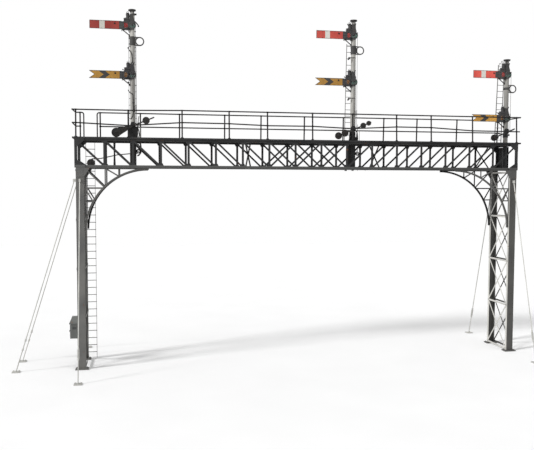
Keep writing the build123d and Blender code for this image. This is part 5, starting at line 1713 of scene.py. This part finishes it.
@dataclass
class WireGear(SubAssembly):
    """Signal wires, their pulleys and the wheel's hub below the deck."""

    wheel_x: float = 0.44
    wheel_up: float = 0.17
    wheel_radius: float = 0.13
    thick: float = 0.04
    pulley_up: float = 0.567
    pulley_x: float = 0.165
    stud_circle: float = 0.078
    rod_x: float = 0.24
    front: float = -0.045
    middle: float = -0.03
    strap: tuple = ((0.07, 0.30), (0.085, 0.16), (0.10, 0.04), (0.078, -0.05), (0.03, -0.12), (-0.03, -0.155))
    hanger: tuple = ((-0.06, -0.02), (-0.02, 0.01), (0.0, 0.0))
    chain: tuple = ((0.07, 0.30), (0.02, 0.24), (-0.03, 0.19), (0.01, 0.14), (0.0, 0.06))

    def build(self) -> None:
        """Make the wheel's hub, the pulleys and the wires."""
        g, shop = self.gantry, self.shop
        x = g.x(self.wheel_x)
        z = g.under + self.wheel_up
        half = self.thick / 2
        parts = []
        for way in (-1, 1):
            parts.append(shop.drum("hub", (x, way * half, z), (x, way * (half + 0.012), z), 0.036, 20, 0.003))
            for k in range(6):
                a, b = spun(self.stud_circle, 60 * k + 30)
                parts.append(shop.drum("stud", (x + a, way * half, z + b), (x + a, way * (half + 0.006), z + b),
                                       0.012, 8, 0.002))
        parts.append(shop.washer("rim", (x, -half + 0.001, z), self.wheel_radius - 0.001, self.wheel_radius - 0.016,
                                 0.005, 40))
        parts.append(shop.nuts("nut", [((x, -half - 0.02, z), (0, -1, 0)), ((x, half + 0.02, z), (0, 1, 0))], 0.016,
                               0.016))
        shop.made("wheel_hub", parts, "lever_iron")
        self._pulleys()
        self._wires(x, z)

    def _pulleys(self) -> None:
        """Open-sided pulleys with curved straps at the right of the first two posts."""
        g, shop = self.gantry, self.shop
        for number in (0, 1):
            x = g.x(g.posts[number]) + self.pulley_x
            z = g.under + self.pulley_up
            parts = [shop.hoop("wheel", (x, self.middle, z), (0, 1, 0), 0.056, 0.019, 28),
                     shop.drum("hub", (x, self.front, z), (x, -0.015, z), 0.020, 12, 0.002)]
            for k in range(4):
                a, b = spun(0.05, 90 * k + 45)
                parts.append(shop.drum("spoke", (x, self.middle, z), (x + a, self.middle, z + b), 0.006, 6))
            parts.append(shop.run("strap", flat(x, self.front, z, self.strap), 0.025, 8))
            parts.append(shop.run("hanger", flat(x, self.front, z, self.hanger), 0.014, 8))
            parts.append(shop.run("chain", flat(x, -0.02, z, self.chain), 0.013, 6))
            shop.made(f"pulley_{number + 1}", parts, "lever_iron")

    def _wires(self, x: float, z: float) -> None:
        """Wire from the wheel to the first pulley, and the rods on the deck beside the first two posts.

        Args:
            x: Place of the wheel's axis.
            z: Height of the wheel's axis.
        """
        g, shop = self.gantry, self.shop
        post = g.x(g.posts[0])
        end = g.under + self.pulley_up - 0.09
        line = [(x + 0.02, 0.0, z + self.wheel_radius + 0.004), (x + 0.30, 0.0, z + self.wheel_radius + 0.015),
                (post - 0.5, -0.06, end - 0.035), (post - 0.11, -0.125, end), (post + 0.11, -0.125, end + 0.01),
                (post + self.pulley_x, -0.04, end + 0.035)]
        shop.dress(shop.run("signal_wire", line, 0.016, 6), "lever_iron")
        parts = []
        for number in (0, 1):
            a = g.x(g.posts[number]) + self.rod_x
            rod = [(0.0, 0.002), (0.0, 0.36), (-0.03, 0.40)]
            parts.append(shop.run("rod", flat(a, self.middle, g.deck_top, rod), 0.009, 8))
            foot = (a, self.middle)
            parts.append(shop.drum("foot", (*foot, g.deck_top), (*foot, g.deck_top + 0.02), 0.028, 12, 0.004))
        shop.made("crank_rods", parts, "stay_steel")


@dataclass
class BoxDetails(SubAssembly):
    """Door, hinges, latch, trims and pipe of the telephone box."""

    left: float = -0.2786
    right: float = -0.0086
    half: float = 0.21
    low: float = 0.93
    high: float = 1.40
    hinges: tuple[float, float] = (0.09, 0.36)
    vent_pitch: float = 0.022

    def build(self) -> None:
        """Dress the box."""
        g, shop = self.gantry, self.shop
        x0, x1 = g.x(self.left), g.x(self.right)
        parts = [
            shop.block("door", (x0 - 0.010, -self.half + 0.03, self.low + 0.03),
                       (x0 + 0.002, self.half - 0.03, self.high - 0.03), 0.004),
            shop.block("panel", (x0 + 0.035, -self.half - 0.006, self.low + 0.04),
                       (x1 - 0.035, -self.half + 0.002, self.high - 0.05), 0.004),
            shop.block("rear_panel", (x0 + 0.035, self.half - 0.002, self.low + 0.04),
                       (x1 - 0.035, self.half + 0.006, self.high - 0.05), 0.004),
            shop.block("plinth", (x0 - 0.006, -self.half - 0.005, self.low - 0.012),
                       (x1, self.half + 0.005, self.low + 0.014), 0.003),
            shop.block("drip", (x0 - 0.031, -self.half - 0.031, self.high + 0.018),
                       (x1, self.half + 0.031, self.high + 0.030), 0.003),
        ]
        shop.made("box_panels", parts, "box_paint")
        iron = []
        for up in self.hinges:
            z = self.low + up
            hinge = (x0 - 0.014, self.half - 0.034)
            iron.append(shop.drum("hinge", (*hinge, z), (*hinge, z + 0.06), 0.009, 10))
            iron.append(shop.block("leaf", (x0 - 0.014, self.half - 0.10, z + 0.01),
                                   (x0 - 0.008, self.half - 0.03, z + 0.05), 0.001))
        iron.append(shop.drum("lock", (x0 - 0.022, -self.half + 0.06, self.low + 0.25),
                              (x0 - 0.008, -self.half + 0.06, self.low + 0.25), 0.018, 16, 0.003))
        iron.append(shop.block("handle", (x0 - 0.034, -self.half + 0.052, self.low + 0.20),
                               (x0 - 0.020, -self.half + 0.068, self.low + 0.26), 0.004))
        for k in range(4):
            z = self.high - 0.10 - k * self.vent_pitch
            iron.append(shop.block("vent", (x0 + 0.07, -self.half - 0.009, z),
                                   (x1 - 0.07, -self.half - 0.004, z + 0.008), 0.001))
        shop.made("box_iron", iron, "lever_iron")
        pipe = [(x1 - 0.05, 0.10, z) for z in (self.low - 0.005, 0.06, 0.0)]
        shop.dress(shop.run("box_pipe", pipe, 0.016, 10), "column_steel")


@dataclass
class RailDetails(SubAssembly):
    """Fittings where rails meet posts, and the bolts of the posts' feet."""

    high: float = 0.895
    front_posts: tuple = (0.02, 1.66, 3.39, 4.94, 6.23, 7.78, 9.19, 10.77, 12.04, 13.59, 15.28)
    rear_posts: tuple = (0.06, 0.72, 2.06, 3.39, 4.96, 6.25, 7.82, 9.26, 10.79, 12.07, 13.64, 15.28)
    drops: tuple = (0.45, 0.52, 0.395, 0.403, 0.446, 0.44, 0.495, 0.411, 0.412, 0.498, 0.505)
    dips: tuple = (0.03, 0.03, 0.0, 0.0, 0.0, 0.0, 0.0, 0.0, 0.0, 0.0, 0.0)
    lean: float = 0.045
    rear_drop: float = 0.46
    ends: tuple[float, float] = (-0.085, 0.125)
    half: float = 0.034
    dip: float = 0.03

    def build(self) -> None:
        """Make the fittings and bolts."""
        g, shop = self.gantry, self.shop
        top = g.deck_top + self.high
        fittings = []
        bolts = []
        rows = [(-g.half, -1, along, top - dip, top - drop)
                for along, dip, drop in zip(self.front_posts, self.dips, self.drops)]
        rows += [(g.half, 1, along, top, top - self.rear_drop) for along in self.rear_posts]
        for y, out, along, high, middle in rows:
            x = g.x(along)
            fittings.append(Matrix.Translation((x, y, high)))
            fittings.append(Matrix.Translation((x, y + out * self.lean / 2, middle)))
            for aside in (-self.half, self.half):
                bolts.append(((x + aside, y + out * self.lean, g.deck_top + 0.0103), (0, 0, 1)))
        sleeve = shop.drum("sleeve", (-self.half, 0, 0), (self.half, 0, 0), 0.0255, 12, 0.003)
        lug = shop.block("lug", (-0.012, -0.024, -0.036), (0.012, 0.024, 0.0), 0.003)
        pattern = shop.joined("fitting", [sleeve, lug])
        shop.dress(shop.copies("rail_fittings", pattern, fittings), "rail_tube")
        shop.dress(shop.nuts("rail_foot_bolts", bolts, 0.010, 0.010), "rail_tube")
        corners = []
        for x in (g.x(self.ends[0]), g.x(g.span + self.ends[1])):
            for y, way in ((-g.half, -1), (g.half, 1)):
                dip = self.dip if way < 0 and x < 0 else 0.0
                corners.append(shop.ball("elbow", (x, y, top - dip), 0.029))
        shop.made("rail_elbows", corners, "rail_tube")


@dataclass
class SmallSteel(SubAssembly):
    """Rivets of the knees and of the ladder, and clamps under the girder."""

    knee: float = 2.05
    rib: float = 0.06
    lines: tuple[float, float] = (0.66, 1.09)
    first: float = 0.2
    pitch: float = 0.25
    rungs: int = 29
    stiles: tuple[float, float] = (0.214, 0.526)
    ladder_y: float = 0.21
    edge: float = 0.011

    def build(self) -> None:
        """Make all the small steelwork."""
        self._knees()
        self._ladder()
        self._clamps()

    def _knees(self) -> None:
        """Rivets where the knees' bars meet, on both faces."""
        g, shop = self.gantry, self.shop
        x0 = g.column + 0.0086
        top = g.under - 0.0003
        middle = self.knee - self.rib / 2
        spots = []
        for k in range(15):
            a, b = spun(middle, 6 * k + 3)
            spots.append((x0 + self.knee - a, top - self.knee + b))
        edge = self.edge
        for d in self.lines:
            spots += [(x0 + d - 0.012, top - edge), (x0 + d + 0.012, top - edge)]
            spots += [(x0 + edge, top - d + 0.012), (x0 + edge, top - d - 0.012)]
        for k in range(6):
            spots += [(x0 + edge, top - 0.15 - k * 0.33), (x0 + 0.15 + k * 0.33, top - edge)]
        reach = middle / math.sqrt(2.0)
        spots += [(x0 + self.knee - reach, top - self.knee + reach), (x0 + 0.03, top - 0.03)]
        heads = []
        for along, z in spots:
            for x in (g.x(along), g.x(g.span - along)):
                for y in (-g.half, g.half):
                    for facing in (-1, 1):
                        heads.append(((x, y + facing * 0.006, z), (0, facing, 0)))
        shop.dress(shop.rivets("knee_rivets", heads, 0.010, 0.007), "column_steel")

    def _ladder(self) -> None:
        """Riveted rung ends of the access ladder."""
        g, shop = self.gantry, self.shop
        y = g.half + self.ladder_y
        heads = []
        for k in range(self.rungs):
            z = self.first + k * self.pitch
            heads += [((g.x(stile), y, z), (way, 0, 0)) for stile, way in zip(self.stiles, (-1, 1))]
        shop.dress(shop.rivets("ladder_rivets", heads, 0.013, 0.006), "ladder_paint")

    def _clamps(self) -> None:
        """Clamp bar under the front chord beside the second post, with loose bolts near it."""
        g, shop = self.gantry, self.shop
        x = g.x(g.posts[1])
        z = g.under
        parts = [
            shop.block("bar", (x - 0.47, -g.half - 0.045, z - 0.014), (x - 0.16, -g.half + 0.045, z - 0.001), 0.003),
            shop.block("lump", (x - 0.475, -g.half - 0.035, z - 0.058), (x - 0.405, -g.half + 0.03, z - 0.010), 0.008),
            shop.block("lump", (x - 0.225, -g.half - 0.035, z - 0.052), (x - 0.16, -g.half + 0.03, z - 0.010), 0.008),
        ]
        parts.append(shop.block("plate", (x - 0.186, -0.03, z + 0.10), (x - 0.088, -0.018, z + 0.88), 0.002))
        for aside in (-0.03, 0.25):
            parts.append(shop.nuts("bolt", [((x + aside, -g.half - 0.03, z), (0, 0, -1))], 0.016, 0.03))
        shop.made("chord_clamps", parts, "girder_steel")


@dataclass
class Studio:
    """Floor, soft light, white background and the photograph's camera."""

    eye: Point = (-4.9405, -24.239, 6.066)
    yaw: float = 10.53
    pitch: float = 3.38
    roll: float = 0.16
    focal: float = 712.4
    width: float = 534.0
    sensor: float = 36.0
    sky: float = 0.62
    floor_side: float = 90.0
    suns: tuple = (("sun", 2.9, 10.0, (0.95, 0.34, -0.58)), ("fill", 0.4, 60.0, (-0.6, 0.7, -0.4)))

    def build(self) -> None:
        """Make the camera, the sky, the floor and the lamps."""
        self._camera()
        self._world()
        self._floor()
        self._lamps()
        bpy.context.scene.view_settings.view_transform = "Standard"

    def _camera(self) -> None:
        """Camera at the photograph's place and angle."""
        data = bpy.data.cameras.new("camera")
        data.sensor_fit = "HORIZONTAL"
        data.sensor_width = self.sensor
        data.lens = self.focal / self.width * self.sensor
        data.clip_end = 500.0
        camera = bpy.data.objects.new("camera", data)
        bpy.context.scene.collection.objects.link(camera)
        yaw = math.radians(self.yaw)
        pitch = math.radians(self.pitch)
        roll = math.radians(self.roll)
        forward = Vector((math.sin(yaw) * math.cos(pitch), math.cos(yaw) * math.cos(pitch), -math.sin(pitch)))
        right = Vector((math.cos(yaw), -math.sin(yaw), 0.0))
        above = right.cross(forward)
        side = right * math.cos(roll) + above * math.sin(roll)
        top = above * math.cos(roll) - right * math.sin(roll)
        turn = Matrix((side, top, -forward)).transposed().to_4x4()
        camera.matrix_world = Matrix.Translation(Vector(self.eye)) @ turn
        bpy.context.scene.camera = camera

    def _world(self) -> None:
        """World that lights softly and shows white."""
        world = bpy.data.worlds.new("sky")
        bpy.context.scene.world = world
        world.use_nodes = True
        world.node_tree.nodes.clear()
        bench = NodeBench(world.node_tree)
        light = bench.add("Background", {"Color": WHITE, "Strength": self.sky}).outputs["Background"]
        shown = bench.add("Background", {"Color": WHITE, "Strength": 1.0}).outputs["Background"]
        rays = bench.add("LightPath", {}).outputs
        seen = rays["Is Camera Ray"]
        for ray in ("Is Glossy Ray", "Is Transmission Ray"):
            seen = bench.add("Math", {0: seen, 1: rays[ray]}, operation="MAXIMUM").outputs["Value"]
        mix = bench.add("MixShader", {"Fac": seen, 1: light, 2: shown})
        bench.add("OutputWorld", {"Surface": mix.outputs["Shader"]})

    def _floor(self) -> None:
        """Plain pale floor at ground level."""
        bpy.ops.object.select_all(action="DESELECT")
        bpy.ops.mesh.primitive_plane_add(size=self.floor_side, location=(0.0, 0.0, -0.001))
        floor = bpy.context.object
        floor.name = "floor"
        material = bpy.data.materials.new("floor")
        material.use_nodes = True
        bench = NodeBench(material.node_tree)
        noise = bench.add("TexNoise", {"Scale": 0.4, "Vector": bench.place()}).outputs["Fac"]
        pale = bench.add("MapRange", {"To Min": 0.86, "To Max": 0.92, "Value": noise}).outputs["Result"]
        bench.feed(bench.shader, {"Roughness": 0.9, "Base Color": pale})
        floor.data.materials.append(material)

    def _lamps(self) -> None:
        """A soft sun from the upper left and a weak fill from the right."""
        for name, power, angle, aim in self.suns:
            data = bpy.data.lights.new(name, "SUN")
            data.energy = power
            data.angle = math.radians(angle)
            lamp = bpy.data.objects.new(name, data)
            lamp.rotation_mode = "QUATERNION"
            lamp.rotation_quaternion = Vector(aim).to_track_quat("-Z", "Y")
            bpy.context.scene.collection.objects.link(lamp)


def main(frame: dict) -> None:
    """Build every sub-assembly in order.
    """
    logging.basicConfig(level=logging.INFO, format="%(message)s")
    materials = Palette().build()
    shop = Shop(materials)
    gantry = Gantry()
    CadFinishes(frame).dress(materials)
    for kind in (Walkway, GirderDetails, LegDetails):
        kind(gantry, shop).build()
    for number in range(len(gantry.posts)):
        SignalArm(gantry, shop, number, False).build()
        SignalArm(gantry, shop, number, True, tip=1.39, deep=0.245, lens_x=-0.245, crank=0.06, band_start=0.46,
                  band_wide=0.20).build()
    for kind in (SignalLamps, PostDetails, LeverDetails, WireGear, BoxDetails, RailDetails, SmallSteel):
        kind(gantry, shop).build()
    Studio().build()


if __name__ == "__main__":
    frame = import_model()
    main(frame)
